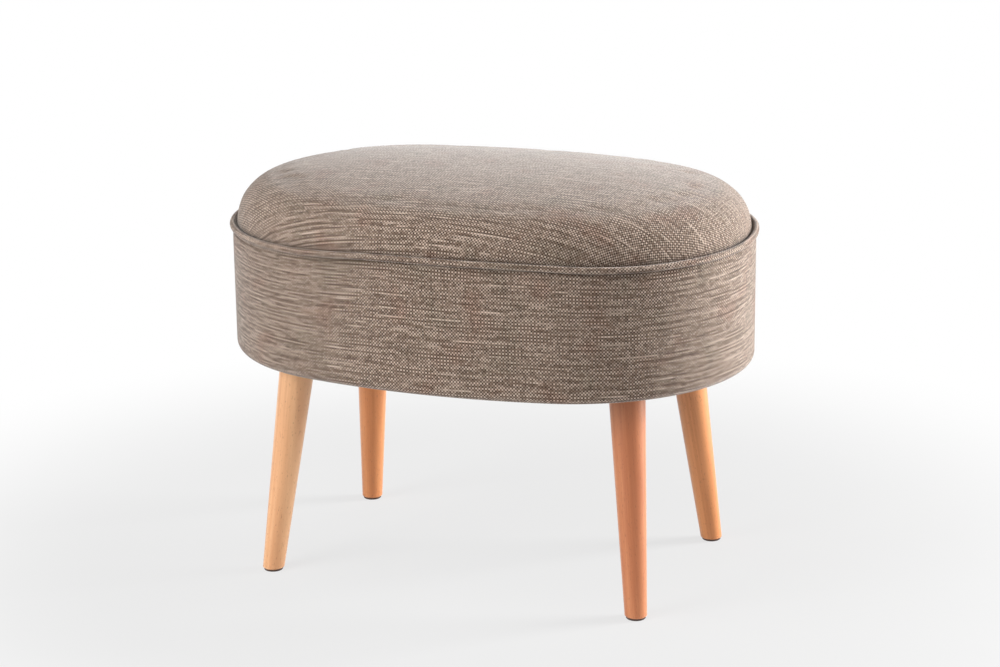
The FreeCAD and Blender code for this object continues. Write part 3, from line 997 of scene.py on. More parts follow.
def stored(bench, name):
    """Read a number that is kept on a geometry under a name."""
    return bench.node("GeometryNodeInputNamedAttribute", {"data_type": "FLOAT"}, {"Name": name})


print("geometry benches ready")

# %% Draw the folded strip's section
FLANGE = 14.2 * MM
FOLD_GAP = 0.05 * MM
FOLD_STEPS = 16


def line_object(name, points):
    """A mesh of points joined by edges, for a tree to read as a path."""
    return mesh_object(name, points, edges=[(number, number + 1) for number in range(len(points) - 1)])


def strip_section():
    """Outline of the folded strip: round the cord, and back along both layers of the seam."""
    points = [(FLANGE, CLOTH)]
    for radius, edge, way in ((PIPING_RADIUS, CLOTH, 1), (PIPING_RADIUS - CLOTH, FOLD_GAP, -1)):
        open_angle = math.asin(edge / radius)
        for step in range(FOLD_STEPS + 1):
            share = step / FOLD_STEPS if way > 0 else 1 - step / FOLD_STEPS
            turn = open_angle + (math.tau - 2 * open_angle) * share
            points.append((radius * math.cos(turn), radius * math.sin(turn)))
        if way > 0:
            points += [(FLANGE, -CLOTH), (FLANGE, -FOLD_GAP)]
    points.append((FLANGE, FOLD_GAP))
    return [(-x, y) for x, y in points]


section_points = strip_section()
section = line_object("strip_section", [(x, y, 0) for x, y in section_points])
print("the strip's section has", len(section_points), "points")

# %% Sweep the section in a tree
piping_tree, bench, start, piping_inputs = geometry_bench("sweep the piping", {
    "Section": "Object", "Unevenness": "Float", "Material": "Material"})
path = bench.node("GeometryNodeMeshToCurve", None, {"Mesh": start.other("Geometry")})
path = store(bench, path, "travelled", bench.node("GeometryNodeSplineParameter").other("Length"))
path = bench.node("GeometryNodeSetCurveNormal", {"mode": "Z_UP"}, {"Curve": path})
swell = bench.noise(bench.node("GeometryNodeInputPosition"), 45.0, 2.0) - 0.5
path = bench.node("GeometryNodeSetCurveRadius", None,
                  {"Curve": path, "Radius": swell * start.other("Unevenness") + 1.0})
profile = bench.node("GeometryNodeObjectInfo", None, {"Object": start.other("Section")}).other("Geometry")
profile = bench.node("GeometryNodeMeshToCurve", None, {"Mesh": profile})
profile = store(bench, profile, "around", bench.node("GeometryNodeSplineParameter").other("Length"))
profile = bench.node("GeometryNodeSetSplineCyclic", None, {"Geometry": profile, "Cyclic": True})
tube = bench.node("GeometryNodeCurveToMesh", None,
                  {"Curve": path, "Profile Curve": profile, "Fill Caps": True})
print("the tube is swept with", len(piping_tree.nodes), "nodes so far")

# %% Map the cloth and mark the painted crease shade in the tree
OUTERMOST = FLANGE - PIPING_RADIUS + PIPING_RADIUS * math.pi
PAINTED_SHADE_ANGLES = (math.radians(72), math.radians(112))
around = stored(bench, "around")
cloth_place = bench.vector(stored(bench, "travelled"), around)
tube = store(bench, tube, UV_NAME, cloth_place, "FLOAT2", "CORNER")
# The sides of the tube that face into the seam are marked for painted shade.
from_outermost = (around - OUTERMOST).absolute()
hidden = from_outermost.ramp(PAINTED_SHADE_ANGLES[0] * PIPING_RADIUS, PAINTED_SHADE_ANGLES[1] * PIPING_RADIUS)
tube = store(bench, tube, PAINTED_SHADE_ATTRIBUTE, hidden)
# The section runs round the path in the sense that sweeps faces inwards, so they are turned.
tube = bench.node("GeometryNodeFlipFaces", None, {"Mesh": tube})
smoothed = bench.node("GeometryNodeSetShadeSmooth", None, {"Geometry": tube, "Shade Smooth": True})
end_tree(bench, smoothed, start.other("Material"))
print("piping tree has", len(piping_tree.nodes), "nodes")

# %% Sweep the piping
PIPING_POINTS = 820
BUTT_GAP = 0.3 * MM
WANDER = 0.35 * MM
DIP = 0.3 * MM
UNEVENNESS = 0.16


def hand_shake(spot, scale, layer):
    """A smooth random number from -1 to 1 for a spot, as a hand guides the cloth unevenly."""
    return noise.noise(Vector((spot.x * scale, spot.y * scale, layer)))


piping_points = []
for number in range(PIPING_POINTS):
    share = number / (PIPING_POINTS - 1)
    travel = outline_length / 4 + BUTT_GAP + (outline_length - 2 * BUTT_GAP) * share
    spot, normal = outline_at(travel)
    place = spot - normal * (PIPING_INSET - hand_shake(spot, 25, 3.7) * WANDER)
    dip = hand_shake(spot, 30, 8.1) * DIP
    piping_points.append((place.x, place.y, seam_height + seam_lift(place) + dip))
piping = line_object("piping_sleeve_cloth", piping_points)
grow(piping, piping_tree, piping_inputs,
     {"Section": section, "Unevenness": UNEVENNESS, "Material": weave})
bpy.data.objects.remove(section)
insets = [inset_of(vertex.co.x, vertex.co.y) for vertex in piping.data.vertices]
print("piping", count(piping), "triangles, insets in mm from", round(min(insets) / MM, 1), "to",
      round(max(insets) / MM, 1), "volume", round(volume_of(piping) / MM ** 3), "mm3")

# %% [markdown]
# ## Inside the cover
#
# Under the cloth lie the cotton cord of the piping, a soft wadding that rounds the crown, the
# foam block on the deck board and the thin foam round the wall. Nobody sees them in the finished
# pouf, but they are pieces of their own, and a cut-away view should find real foam and not a
# hollow. They reuse the crown's rings at a depth, so each layer rests on the next.

# %% Twist the cotton cord
CORD_RADIUS = 2.2 * MM
CORD_COLUMNS = 1200
CORD_SIDES = 14
CORD_PITCH = 13 * MM
CORD_STRANDS = 3
STRAND_DEPTH = 0.07
cord_twists = round(outline_length / CORD_PITCH)
cord_rings = []
for side in range(CORD_SIDES):
    turn = -math.tau * side / CORD_SIDES
    points = []
    for column in range(CORD_COLUMNS):
        travel = outline_length * column / CORD_COLUMNS
        spot, normal = outline_at(travel)
        strand = math.cos(CORD_STRANDS * turn + math.tau * cord_twists * column / CORD_COLUMNS)
        radius = CORD_RADIUS * (1 - STRAND_DEPTH + STRAND_DEPTH * strand)
        place = spot - normal * (PIPING_INSET + radius * math.cos(turn))
        level = seam_height + seam_lift(place)
        points.append(Vector((place.x, place.y, level + radius * math.sin(turn))))
    cord_rings.append(points)
cord = smooth(loft("piping_cord_core", cord_rings, loop=True))
print("cord", cord_twists, "twists,", count(cord), "triangles")

# %% Lay the wadding
INNER_COLUMNS = 200
INNER_STEPS = (8, 16)
WADDING_DEPTH = 4.2 * MM
WADDING_RISE = 3.2 * MM
WADDING_THICKNESS = 5.2 * MM

wadding_rings = crown_surface(WADDING_DEPTH, seam_height + WADDING_RISE, *INNER_STEPS, INNER_COLUMNS)
wadding = loft("seat_wadding_layer", wadding_rings, on_spine=[len(wadding_rings) - 1])
give_thickness(wadding, WADDING_THICKNESS)
smooth(wadding)
print("wadding", count(wadding), "triangles")

# %% Cut the seat foam
FOAM_DEPTH = 9.8 * MM
DECK_TOP = measured(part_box("deck_board")[1].z)
WALL_INSET = 6.8 * MM
SHELF_DROP = 6.9 * MM
FOAM_BEVEL = 2 * MM
SHELF_ROUND = 1 * MM
BASE_STEPS = 12

foam_base = ring(WALL_INSET + FOAM_BEVEL, lambda place: DECK_TOP, INNER_COLUMNS)
foam_rings = slide_rings(foam_base, BASE_STEPS, lambda inset: DECK_TOP, INNER_COLUMNS)[::-1]
foam_rings.append(foam_base)
foam_shelf = seam_height - SHELF_DROP
foam_wall = [(WALL_INSET, DECK_TOP + FOAM_BEVEL), (WALL_INSET, foam_shelf - SHELF_ROUND),
             (WALL_INSET + SHELF_ROUND, foam_shelf - 0.4 * SHELF_ROUND),
             (CROWN_INSET + FOAM_DEPTH, foam_shelf)]
for inset, level in foam_wall:
    foam_rings.append(ring(inset, lambda place: level, INNER_COLUMNS))
foam_rings += crown_surface(FOAM_DEPTH, seam_height, *INNER_STEPS, INNER_COLUMNS)
foam = smooth(loft("seat_foam_block", foam_rings, on_spine=[0, len(foam_rings) - 1]))
print("foam", count(foam), "triangles")

# %% Wrap the side foam
SIDE_FOAM_OUTER = 1.9 * MM
SIDE_FOAM_INNER = 6.4 * MM
SIDE_FOAM_TOP = seam_height - 9.5 * MM
SIDE_FOAM_FOOT = bottom_start - 6 * MM
SIDE_ROUND = 1 * MM
SIDE_ROUND_DROP = 0.6 * MM
FOOT_STEPS = 3
FOOT_TURN = math.radians(17)
side_section = [
    (SIDE_FOAM_INNER, SIDE_FOAM_FOOT), (SIDE_FOAM_INNER, SIDE_FOAM_TOP - SIDE_ROUND_DROP),
    (SIDE_FOAM_INNER - SIDE_ROUND, SIDE_FOAM_TOP), (SIDE_FOAM_OUTER + SIDE_ROUND, SIDE_FOAM_TOP),
    (SIDE_FOAM_OUTER, SIDE_FOAM_TOP - SIDE_ROUND_DROP), (SIDE_FOAM_OUTER, bottom_start)]
for step in range(1, FOOT_STEPS + 1):
    turn = math.pi + FOOT_TURN * step
    reach = BOTTOM_RADIUS - SIDE_FOAM_OUTER
    side_section.append((BOTTOM_RADIUS + reach * math.cos(turn), bottom_start + reach * math.sin(turn)))
side_rings = []
for inset, level in side_section:
    side_rings.append(ring(inset, lambda place: level + band_lift(place, level), INNER_COLUMNS))
side_rings.reverse()
side_foam = smooth(loft("side_foam_strip", side_rings, loop=True))
print("side foam", count(side_foam), "triangles, volume", round(volume_of(side_foam) / MM ** 3), "mm3")

# %% [markdown]
# ## The dust cover
#
# Upholsterers close the underside with a thin black non-woven sheet, stapled over the raw edge of
# the band. It is cut as an oval and drawn tight, so it is a flat skin with only a shallow ripple
# between the leg plates. Simulating it would cost time for a shape that hardly moves, so the
# ripple is modelled from noise, fading out near the rim and the plates that press it flat.

# %% Find where the dust cover can sag
CORNERS = ("front_left", "front_right", "rear_left", "rear_right")
DUST_FLAT = 31.0 * MM
RIM_FADE = 40 * MM
PLATE_HALF = 38 * MM
PLATE_FADE = 30 * MM
RIPPLE = 1.6 * MM
RIPPLE_SCALE = (16, 30)
RIPPLE_LAYER = 1.3


def middle_of(name):
    """Middle of the box of a piece of the frame."""
    low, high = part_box(name)
    return (low + high) / 2


plate_middles = [middle_of("leg_plate_" + place) for place in CORNERS]


def dust_sag(x, y):
    """How far the dust cover hangs down, away from its rim and the plates."""
    rim = min(1, max(0, inset_of(x, y) - DUST_FLAT) / RIM_FADE)
    near_plate = min(math.hypot(x - plate.x, y - plate.y) for plate in plate_middles)
    free = min(1, max(0, near_plate - PLATE_HALF) / PLATE_FADE)
    wave = noise.noise(Vector((x * RIPPLE_SCALE[0], y * RIPPLE_SCALE[1], RIPPLE_LAYER)))
    return rim * free * (0.5 + 0.5 * wave) * RIPPLE


print("the dust cover's middle hangs", round(dust_sag(0, 0) / MM, 2), "mm down")

# %% Cut and stretch the dust cover
DUST_COLUMNS = 192
DUST_STEPS = 26
DUST_THICKNESS = 0.5 * MM
DUST_RIM = 13.1 * MM
DUST_STEP = 28.6 * MM
dust_flat_height = measured(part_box("base_board")[0].z) - DUST_THICKNESS
dust_rim_height = underside - DUST_THICKNESS
dust_section = [(DUST_RIM, dust_rim_height), (DUST_RIM + 4 * MM, dust_rim_height),
                (DUST_STEP - 6 * MM, dust_rim_height), (DUST_STEP, dust_rim_height),
                (DUST_FLAT, dust_flat_height)]
dust_rings = [ring(inset, lambda place: level, DUST_COLUMNS) for inset, level in dust_section]
dust_rings += slide_rings(dust_rings[-1], DUST_STEPS, lambda inset: dust_flat_height, DUST_COLUMNS)
for points in dust_rings[len(dust_section):]:
    for point in points:
        point.z -= dust_sag(point.x, point.y)
dust_cover = loft("dust_cover_sheet", dust_rings, on_spine=[len(dust_rings) - 1])
dust_cover.data.flip_normals()
give_thickness(dust_cover, DUST_THICKNESS)
smooth(dust_cover)

# %% [markdown]
# ## Plain finishes for the hidden pieces
#
# Every piece gets a real finish, seen or not. Boards show their plies on the edge and a quiet
# grain on the face, hardboard is pressed brown fibre, foam is full of small cells and the dust
# cover is a bonded black cloth. Each is a short formula on object coordinates, which needs no
# unwrapping and can't slide, because every piece lies at the origin.

# %% Write the formulas of the hidden finishes
FIGURE_BREADTH = 5


def object_place(bench):
    """Place on the piece, in metres from the origin."""
    return bench.node("ShaderNodeTexCoord").other("Object")


def stretched(bench, place, scales):
    """A place scaled by a number of its own along each axis."""
    return bench.node("ShaderNodeMapping", {"vector_type": "POINT"}, {"Vector": place, "Scale": scales})


def grained_wood(name, pale, dark, scales, plies=0.0):
    """Wood whose grain is long along the axis with the small scale, with or without plies."""
    material, bench, shader = material_bench(name, Specular_IOR_Level=0.3)
    place = object_place(bench)
    grain = bench.noise(stretched(bench, place, scales), 1.0, 4.0)
    broad_scales = [scale / FIGURE_BREADTH for scale in scales]
    figure = bench.noise(stretched(bench, place, broad_scales), 1.0, 2.0)
    shade = grain * 0.6 + figure * 0.4
    if plies:
        level = bench.node("ShaderNodeSeparateXYZ", None, {"Vector": place}).other("Z") / plies
        cross = level.floor() % 2.0
        shade = shade + cross * 0.12 - 0.06
    colour = bench.mix(shade.ramp(0.35, 0.68), pale, dark)
    finish_surface(bench, shader, colour, grain, 0.12 * MM, grain * 0.2 + 0.6)
    return material


def speckled(name, pale, dark, scale, depth, roughness, **fixed):
    """A matt stuff of fibres, grains or small cells."""
    material, bench, shader = material_bench(name, **fixed)
    place = object_place(bench)
    cells = bench.node("ShaderNodeTexVoronoi", {"feature": "F1"}, {"Vector": place, "Scale": scale})
    cloud = bench.noise(place, scale / 9, 3.0)
    colour = bench.mix((cells * 0.5 + cloud * 0.5).ramp(0.2, 0.7), dark, pale)
    finish_surface(bench, shader, colour, cells, depth, cloud * 0.2 + (roughness - 0.1))
    return material


print("two formulas, for grained wood and for speckled stuffs")

# %% Mix the hidden finishes
PLY = 1.5 * MM
board = grained_wood("birch_board", paint(221, 197, 160), paint(176, 142, 100), (14, 160, 160), PLY)
post_timber = grained_wood("softwood_post", paint(226, 200, 156), paint(188, 150, 98), (190, 190, 12))
hardboard = speckled("pressed_hardboard", paint(132, 94, 62), paint(86, 58, 38), 900, 0.1 * MM, 0.75)
foam_stuff = speckled("upholstery_foam", paint(236, 226, 190), paint(205, 190, 140), 620, 0.4 * MM, 0.9,
                      Specular_IOR_Level=0.1)
wadding_stuff = speckled("fibre_wadding", paint(244, 243, 238), paint(214, 213, 206), 260, 0.8 * MM, 0.95,
                         Sheen_Weight=0.4)
cord_cotton = speckled("cotton_cord", paint(236, 228, 208), paint(196, 184, 156), 1500, 0.15 * MM, 0.9,
                       Sheen_Weight=0.3)
print("hidden finishes are mixed")

# %% Bond the dust cloth
DOT_PITCH = 1.6 * MM


def dust_cloth_material():
    """Non-woven cloth: matted fibres, pressed together in a grid of small bonded dots."""
    material, bench, shader = material_bench("bonded_dust_cloth", Specular_IOR_Level=0.2, Sheen_Weight=0.15)
    place = object_place(bench)
    parts = bench.node("ShaderNodeSeparateXYZ", None, {"Vector": place})
    across = (parts.other("X") + parts.other("Y")) / DOT_PITCH
    along = (parts.other("X") - parts.other("Y")) / DOT_PITCH
    dent = ((across * math.tau).cosine() * 0.5 + (along * math.tau).cosine() * 0.5).ramp(0.55, 0.85)
    fibre = bench.noise(place, 1600.0, 4.0)
    cloud = bench.noise(place, 60.0, 2.0)
    shade = (fibre * 0.7 + cloud * 0.3).ramp(0.35, 0.65)
    colour = bench.mix(shade, paint(26, 26, 28), paint(58, 57, 58))
    colour = bench.mix(dent * 0.6, colour, paint(20, 20, 22))
    finish_surface(bench, shader, colour, fibre * 0.3 - dent * 0.7, 0.12 * MM, fibre * 0.2 + 0.7)
    return material


dust_cloth = dust_cloth_material()
dust_cover.data.materials.append(dust_cloth)
print("dust cloth is bonded")

# %% Plate the steel and mould the glides
def steel(name, pale, dark, roughness):
    """Zinc-plated steel with a faint crystal pattern and small scratches."""
    material, bench, shader = material_bench(name, Metallic=1.0)
    place = object_place(bench)
    crystals = bench.noise(place, 320.0, 3.0)
    scratches = bench.noise(stretched(bench, place, (2400, 300, 600)), 1.0, 2.0)
    colour = bench.mix(crystals.ramp(0.3, 0.7), dark, pale)
    finish_surface(bench, shader, colour, scratches, 0.02 * MM,
                   crystals * 0.25 + scratches * 0.15 + (roughness - 0.2))
    return material


plated_steel = steel("plated_steel", paint(203, 206, 208), paint(160, 163, 166), 0.34)
fastener_steel = steel("fastener_steel", paint(190, 190, 186), paint(140, 140, 138), 0.42)
glide_plastic = speckled("moulded_glide", paint(74, 50, 38), paint(46, 30, 24), 1400, 0.04 * MM, 0.5)
print("steel and plastic are ready")

# %% [markdown]
# ## Beech
#
# The legs are turned from beech and clear lacquered. Beech is even and warm, with fine straight
# grain along the leg, soft broad bands, and many short dark flecks that mark it as beech and not
# birch. Each leg is its own piece of timber, so each gets its own finish: the same formula, with
# the grain running along that leg's slanted axis. The front-left leg's paler colours are partly
# its own timber and partly painted light, where the lamp on the left falls on it. Three dot
# products turn a spot into its place along the leg and its two places across it.

# %% Turn the grain along each leg
BEECH = {
    # The front-left leg is paler partly as painted light from the lamp on the left, and partly as its own
    # timber.
    "front_left": (paint(236, 184, 136), paint(214, 154, 108)),
    "front_right": (paint(210, 138, 92), paint(182, 106, 64)),
    "rear_left": (paint(216, 146, 92), paint(192, 118, 66)),
    "rear_right": (paint(212, 142, 88), paint(186, 116, 64)),
}
BEECH_FLECK = paint(140, 84, 54)


def beech(place_name):
    """Lacquered beech whose grain follows one leg."""
    pale, dark = BEECH[place_name]
    material, bench, shader = material_bench(
        "beech_" + place_name, Specular_IOR_Level=0.45, Coat_Roughness=0.28)
    foot = middle_of("glide_" + place_name)
    axis = (middle_of("hanger_bolt_" + place_name) - foot).normalized()
    side = axis.cross(Vector((0.3, 0.7, 0))).normalized()
    depth = axis.cross(side)
    from_foot = bench.node("ShaderNodeVectorMath", {"operation": "SUBTRACT"},
                           {0: object_place(bench), 1: foot})

    def reach(direction):
        return bench.node("ShaderNodeVectorMath", {"operation": "DOT_PRODUCT"},
                          {0: from_foot, 1: direction}, output=1)

    along, across, inward = reach(axis), reach(side), reach(depth)
    along = along + foot.x * 3 + foot.y * 5
    bend = bench.noise(bench.vector(along * 4.0, across * 8.0, inward * 8.0), 1.0, 1.0)
    rings = bench.noise(bench.vector(along * 3.0, (across + bend * 0.004) * 260.0, inward * 40.0), 1.0, 3.0)
    bands = bench.noise(bench.vector(along * 5.0, across * 70.0, inward * 30.0), 1.0, 2.0)
    pores = bench.noise(bench.vector(along * 90.0, across * 1500.0, inward * 1500.0), 1.0, 2.0)
    flecks = bench.noise(bench.vector(along * 260.0, across * 900.0, inward * 900.0), 1.0, 0.0)
    flecks = flecks.ramp(0.70, 0.77)
    shade = rings * 0.45 + bands * 0.45 + pores * 0.1
    colour = bench.mix(shade.ramp(0.34, 0.66), pale, dark)
    colour = bench.mix(flecks * 0.35, colour, BEECH_FLECK)
    finish_surface(bench, shader, colour, pores * 0.7 - flecks * 0.3, 0.03 * MM, rings * 0.12 + 0.32)
    bench.plug(shader.inputs["Coat Weight"], rings * 0.2 + 0.15)
    return material


legs = {place: beech(place) for place in BEECH}
print("beech for", len(legs), "legs")

# %% Finish the pieces of the frame
def dress(material, *names):
    """Give carried-over pieces a finish by filling every material slot of theirs."""
    for name in names:
        mesh = nodes[name].data
        for slot in range(len(mesh.materials)):
            mesh.materials[slot] = material


POSTS = [name for name in nodes if name.startswith("post_") and name != "post_screws"]
dress(board, "base_board", "deck_board")
dress(post_timber, *POSTS)
dress(hardboard, "wall_panel")
for place, material in legs.items():
    dress(material, "leg_" + place)
    dress(plated_steel, "leg_plate_" + place, "hanger_bolt_" + place)
    dress(glide_plastic, "glide_" + place)
dress(fastener_steel, "post_screws", "wall_nails", "cover_staples", "glide_nails")
wadding.data.materials.append(wadding_stuff)
foam.data.materials.append(foam_stuff)
side_foam.data.materials.append(foam_stuff)
cord.data.materials.append(cord_cotton)
print("dressed", len(POSTS), "posts and the rest of the frame")

# %% [markdown]
# ## Staples and screws
#
# Forty-eight staples hold the dust cover, and each leg plate has four screws. Such small things
# are made once and placed many times, which Geometry Nodes does well: the trees below take a
# cloud of points, bend one staple or take one screw, and put a copy on every point with its own
# heading. The staples get a little seeded scatter in their angle, since nobody shoots them quite
# square. The copies are made real before they are kept, because an export drops instances.


# %% Place copies on points
SEED = 7


def point_cloud(name, spots, headings):
    """A mesh of loose points, each with a heading in degrees."""
    piece = mesh_object(name, spots)
    layer = piece.data.attributes.new("heading", "FLOAT", "POINT")
    layer.data.foreach_set("value", [math.radians(heading) for heading in headings])
    return piece


def copies_on_points(bench, start, copy):
    """Nodes that put a copy on every point, turned to its heading with a seeded scatter."""
    scatter = bench.node("FunctionNodeRandomValue", {"data_type": "FLOAT"},
                         {2: -1.0, 3: 1.0, "Seed": SEED}, output=1)
    turn = bench.vector(0.0, 0.0, stored(bench, "heading") + scatter * start.other("Scatter"))
    return bench.node("GeometryNodeInstanceOnPoints", None,
                      {"Points": start.other("Geometry"), "Instance": copy, "Rotation": turn})


print("points and copies are ready")

# %% Bend a staple
staple_tree, bench, start, staple_inputs = geometry_bench("shoot the staples", {
    "Half crown": "Float", "Leg": "Float", "Wire radius": "Float",
    "Scatter": "Float", "Material": "Material"})
# The four points of a staple run from tip to crown, along the crown and down to the other tip.
wire = bench.node("GeometryNodeMeshLine", None, {"Count": 4})
number = bench.node("GeometryNodeInputIndex")
far_side = number.above(1.5) * 2.0 - 1.0
tip = (number - 1.5).absolute().above(1.0)
wire_spot = bench.vector(0.0, far_side * start.other("Half crown"), tip * start.other("Leg"))
wire = bench.node("GeometryNodeSetPosition", None, {"Geometry": wire, "Position": wire_spot})
wire = bench.node("GeometryNodeMeshToCurve", None, {"Mesh": wire})
wire = bench.node("GeometryNodeFilletCurve", {"mode": "POLY"},
                  {"Curve": wire, "Radius": start.other("Wire radius") * 2.0, "Count": 2})
round_wire = bench.node("GeometryNodeCurvePrimitiveCircle", {"mode": "RADIUS"},
                        {"Resolution": 6, "Radius": start.other("Wire radius")})
staple = bench.node("GeometryNodeCurveToMesh", None,
                    {"Curve": wire, "Profile Curve": round_wire, "Fill Caps": True})
end_tree(bench, copies_on_points(bench, start, staple), start.other("Material"))
print("staple tree has", len(staple_tree.nodes), "nodes")

# %% Shoot the dust cover's staples
STAPLES = 48
STAPLE_INSET = 16.1 * MM
STAPLE_WIRE = 0.3 * MM
STAPLE_HALF = 4.7 * MM
STAPLE_LEG = 7.4 * MM
STAPLE_SCATTER = math.radians(4)

spots = []
headings = []
for number in range(STAPLES):
    spot, normal = outline_at(outline_length * (number + 0.5) / STAPLES)
    place = spot - normal * STAPLE_INSET
    spots.append((place.x, place.y, dust_rim_height - STAPLE_WIRE))
    headings.append(math.degrees(math.atan2(normal.y, normal.x)))
dust_staples = point_cloud("dust_cover_staple_row", spots, headings)
grow(dust_staples, staple_tree, staple_inputs, {
    "Half crown": STAPLE_HALF, "Leg": STAPLE_LEG, "Wire radius": STAPLE_WIRE,
    "Scatter": STAPLE_SCATTER, "Material": fastener_steel})
print("staples", count(dust_staples), "triangles")

# %% Turn one screw
SCREW_SIDES = 16
SCREW_HEAD = 3.8 * MM
SCREW_SHANK = 1.9 * MM
SCREW_LENGTH = 15 * MM
SCREW_CONE = 2.0 * MM
SCREW_POINT = 4 * MM
SCREW_TIP = 0.2 * MM
HEAD_EDGE = 0.25 * MM
HEAD_RIM = 0.2 * MM


def screw_object():
    """A countersunk screw that hangs head down from the origin, with a cross recess in its head."""
    mesh = bmesh.new()

    def closed_loop(points):
        corners = [mesh.verts.new(point) for point in points]
        return [mesh.edges.new((corners[number - 1], corner)) for number, corner in enumerate(corners)]

    def circle(radius, height):
        turns = [math.tau * side / SCREW_SIDES for side in range(SCREW_SIDES)]
        return closed_loop([(radius * math.cos(turn), radius * math.sin(turn), height) for turn in turns])

    def cross(reach, half, height):
        quarter = [(reach, -half), (reach, half), (half, half)]
        points = []
        for turn in range(4):
            for x, y in quarter:
                for step in range(turn):
                    x, y = -y, x
                points.append((x, y, height))
        return closed_loop(points)

    loops = [cross(reach=1.1 * MM, half=0.3 * MM, height=1.4 * MM),
             cross(reach=2.1 * MM, half=0.5 * MM, height=0),
             circle(SCREW_HEAD - HEAD_EDGE, 0), circle(SCREW_HEAD, HEAD_RIM),
             circle(SCREW_SHANK, SCREW_CONE), circle(SCREW_SHANK, SCREW_LENGTH - SCREW_POINT),
             circle(SCREW_TIP, SCREW_LENGTH)]
    for first, second in zip(loops, loops[1:]):
        bmesh.ops.bridge_loops(mesh, edges=first + second)
    bmesh.ops.holes_fill(mesh, edges=mesh.edges)
    bmesh.ops.recalc_face_normals(mesh, faces=mesh.faces)
    piece = mesh_object("plate_screw", [])
    mesh.to_mesh(piece.data)
    mesh.free()
    return piece


screw = screw_object()
print("a screw has", count(screw), "triangles")

# %% Find the screws of the frame
head_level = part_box("leg_plate_screws")[0].z
HEAD_FACE = 0.05 * MM
HEAD_SPAN = 2.5 * SCREW_HEAD
heads = []
for vertex in nodes["leg_plate_screws"].data.vertices:
    if vertex.co.z < head_level + HEAD_FACE:
        corner = vertex.co.xy.copy()
        known = [head for head in heads if math.dist(head[0], corner) < HEAD_SPAN]
        if known:
            known[0].append(corner)
        else:
            heads.append([corner])
spots = []
for head in heads:
    east = [corner.x for corner in head]
    north = [corner.y for corner in head]
    spots.append(((min(east) + max(east)) / 2, (min(north) + max(north)) / 2, head_level))
print("found", len(spots), "screw heads on the plates")

# %% Drive the plate screws
SCREW_HEADING = 20
SCREW_SCATTER = math.radians(40)
screw_tree, bench, start, screw_inputs = geometry_bench("drive the screws", {
    "Screw": "Object", "Scatter": "Float", "Material": "Material"})
one_screw = bench.node("GeometryNodeObjectInfo", None, {"Object": start.other("Screw")}).other("Geometry")
end_tree(bench, copies_on_points(bench, start, one_screw), start.other("Material"))
plate_screws = point_cloud("leg_plate_screw_set", spots, [SCREW_HEADING] * len(spots))
grow(plate_screws, screw_tree, screw_inputs, {
    "Screw": screw, "Scatter": SCREW_SCATTER, "Material": plated_steel})
bpy.data.objects.remove(screw)
print(len(spots), "plate screws,", count(plate_screws), "triangles")

# %% [markdown]
# ## Floor, backdrop and light
#
# The shot is a pale studio: a white floor that fades to a pure white background. The floor is one
# big sheet whose finish turns from a lit surface near the pouf into plain white further out, for
# the camera and for reflections only, so it never adds light to the pouf. A large soft lamp stands
# in front on the left, a strong one on the right lights the round end, a weak one hangs over the
# seat, and a low, even world light fills the rest.

# %% Lay the floor
FLOOR_HALF = 7.0
FADE_START, FADE_END = 0.42, 0.95
NEAR_WHITE = 0.85
SOFTENING = 0.85


def seen_directly(bench):
    """1 for rays from the camera, a mirror or clear glass, and 0 for those that carry light."""
    rays = bench.node("ShaderNodeLightPath")
    seen = rays.other("Is Camera Ray").larger(rays.other("Is Glossy Ray"))
    return seen.larger(rays.other("Is Transmission Ray"))


floor_corners = [(x * FLOOR_HALF, y * FLOOR_HALF, 0) for x, y in ((-1, -1), (1, -1), (1, 1), (-1, 1))]
floor = mesh_object("studio_floor", floor_corners, [(0, 1, 2, 3)])
floor_paint, bench, shader = material_bench("white_floor", Roughness=0.6, Specular_IOR_Level=0.2)
place = object_place(bench)
cloud = bench.noise(place, 3.0, 3.0)
grit = bench.noise(place, 260.0, 2.0)
tone = bench.mix(cloud.ramp(0.3, 0.7), paint(207, 207, 207), paint(213, 213, 213))
finish_surface(bench, shader, tone, grit, 0.02 * MM, grit * 0.1 + 0.55)
distance = bench.node("ShaderNodeVectorMath", {"operation": "LENGTH"}, {0: place}, output=1)
fade = distance.ramp(FADE_START, FADE_END)
white = bench.node("ShaderNodeEmission", None, {"Strength": fade * (1 - NEAR_WHITE) + NEAR_WHITE})
share = (fade * (1 - SOFTENING) + SOFTENING) * seen_directly(bench)
blend = bench.node("ShaderNodeMixShader", None, {0: share})
bench.plug(blend.socket.node.inputs[1], Wire(bench, shader.outputs[0]))
bench.plug(blend.socket.node.inputs[2], white)
surface = floor_paint.node_tree.nodes["Material Output"]
bench.plug(surface.inputs["Surface"], blend)
floor.data.materials.append(floor_paint)
print("floor is", 2 * FLOOR_HALF, "m square")

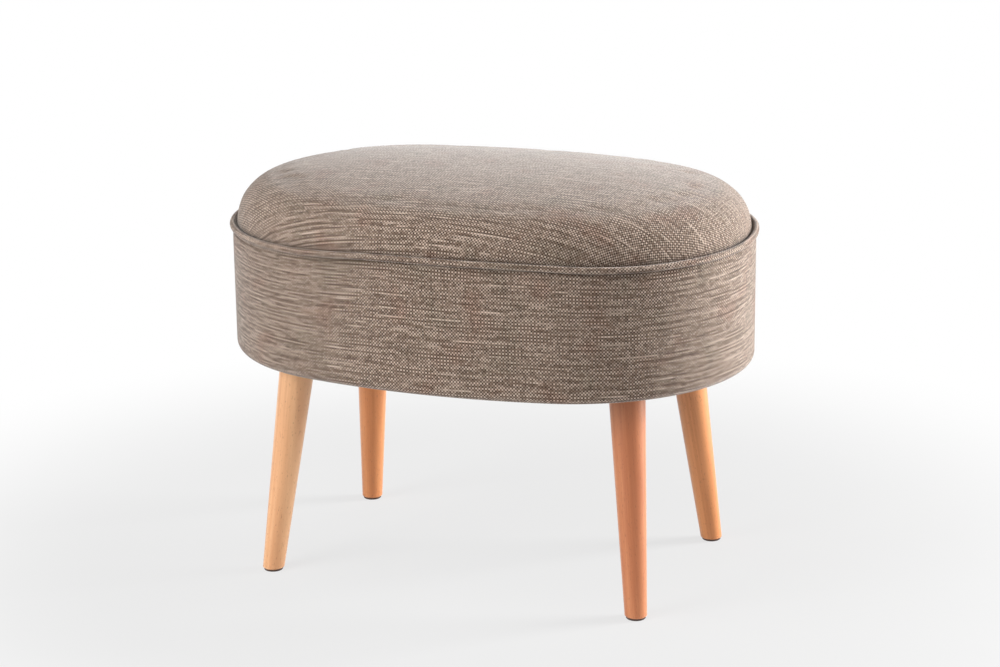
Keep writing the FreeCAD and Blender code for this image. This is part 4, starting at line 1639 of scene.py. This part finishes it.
# %% Light the world
WORLD_LIGHT = 0.23
world = bpy.data.worlds.new("studio")
bpy.context.scene.world = world
world.use_nodes = True
bench = Bench(world.node_tree)
background = world.node_tree.nodes["Background"]
background.inputs["Color"].default_value = (1, 1, 1, 1)
bench.plug(background.inputs["Strength"], seen_directly(bench) * (1 - WORLD_LIGHT) + WORLD_LIGHT)
print("world light", WORLD_LIGHT)

# %% Hang the lamps
LIT_SPOT = Vector((0, 0, 0.3))


def soft_lamp(name, place, width, height, power):
    """A large area lamp that faces the middle of the pouf."""
    data = bpy.data.lights.new(name, "AREA")
    data.shape = "RECTANGLE"
    data.size = width
    data.size_y = height
    data.energy = power
    lamp = add_object(name, data)
    aimed = (place - LIT_SPOT).to_track_quat("Z", "Y").to_matrix().to_4x4()
    lamp.matrix_world = Matrix.Translation(place) @ aimed


soft_lamp("front_left_softbox", Vector((-1.4, -1.95, 1.25)), width=1.2, height=1.2, power=48)
soft_lamp("right_strip", Vector((1.95, 1.15, 0.9)), width=0.8, height=1.3, power=108)
soft_lamp("overhead", Vector((-0.45, -0.75, 2.3)), width=1.4, height=1.1, power=18)
bpy.context.scene.view_settings.view_transform = "Standard"
print("lamps are up")

# %% [markdown]
# ## Put the pieces on the frame
#
# Each new piece is tied to the body it moves with, and takes over from the plain solid that kept
# its place in the frame, which is hidden.

takes_over = [
    (crown_sheet, "top_panel", "upholstery"),
    (band_sheet, "side_band", "upholstery"),
    (piping, "piping_sleeve", "upholstery"),
    (cord, "piping_cord", "piping_cord"),
    (wadding, "seat_wadding", "wadding"),
    (foam, "seat_foam", "foam"),
    (side_foam, "side_foam", "foam"),
    (dust_cover, "dust_cover", "dust_cloth"),
    (dust_staples, "dust_cover_staples", "fastener_steel"),
    (plate_screws, "leg_plate_screws", "plated_steel"),
]
turned_in = [piece.name for piece, node, slot in takes_over if volume_of(piece) < 0]
print("pieces with faces turned inwards:", turned_in or "none")
for piece, node, slot in takes_over:
    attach(piece, "root")
    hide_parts(node)
DUST_FLAT_SIZE = (2 * (half_length - DUST_RIM), 2 * (half_width - DUST_RIM))
print("declared", len(takes_over), "pieces, the dust cover is cut from",
      [round(size, 3) for size in DUST_FLAT_SIZE])
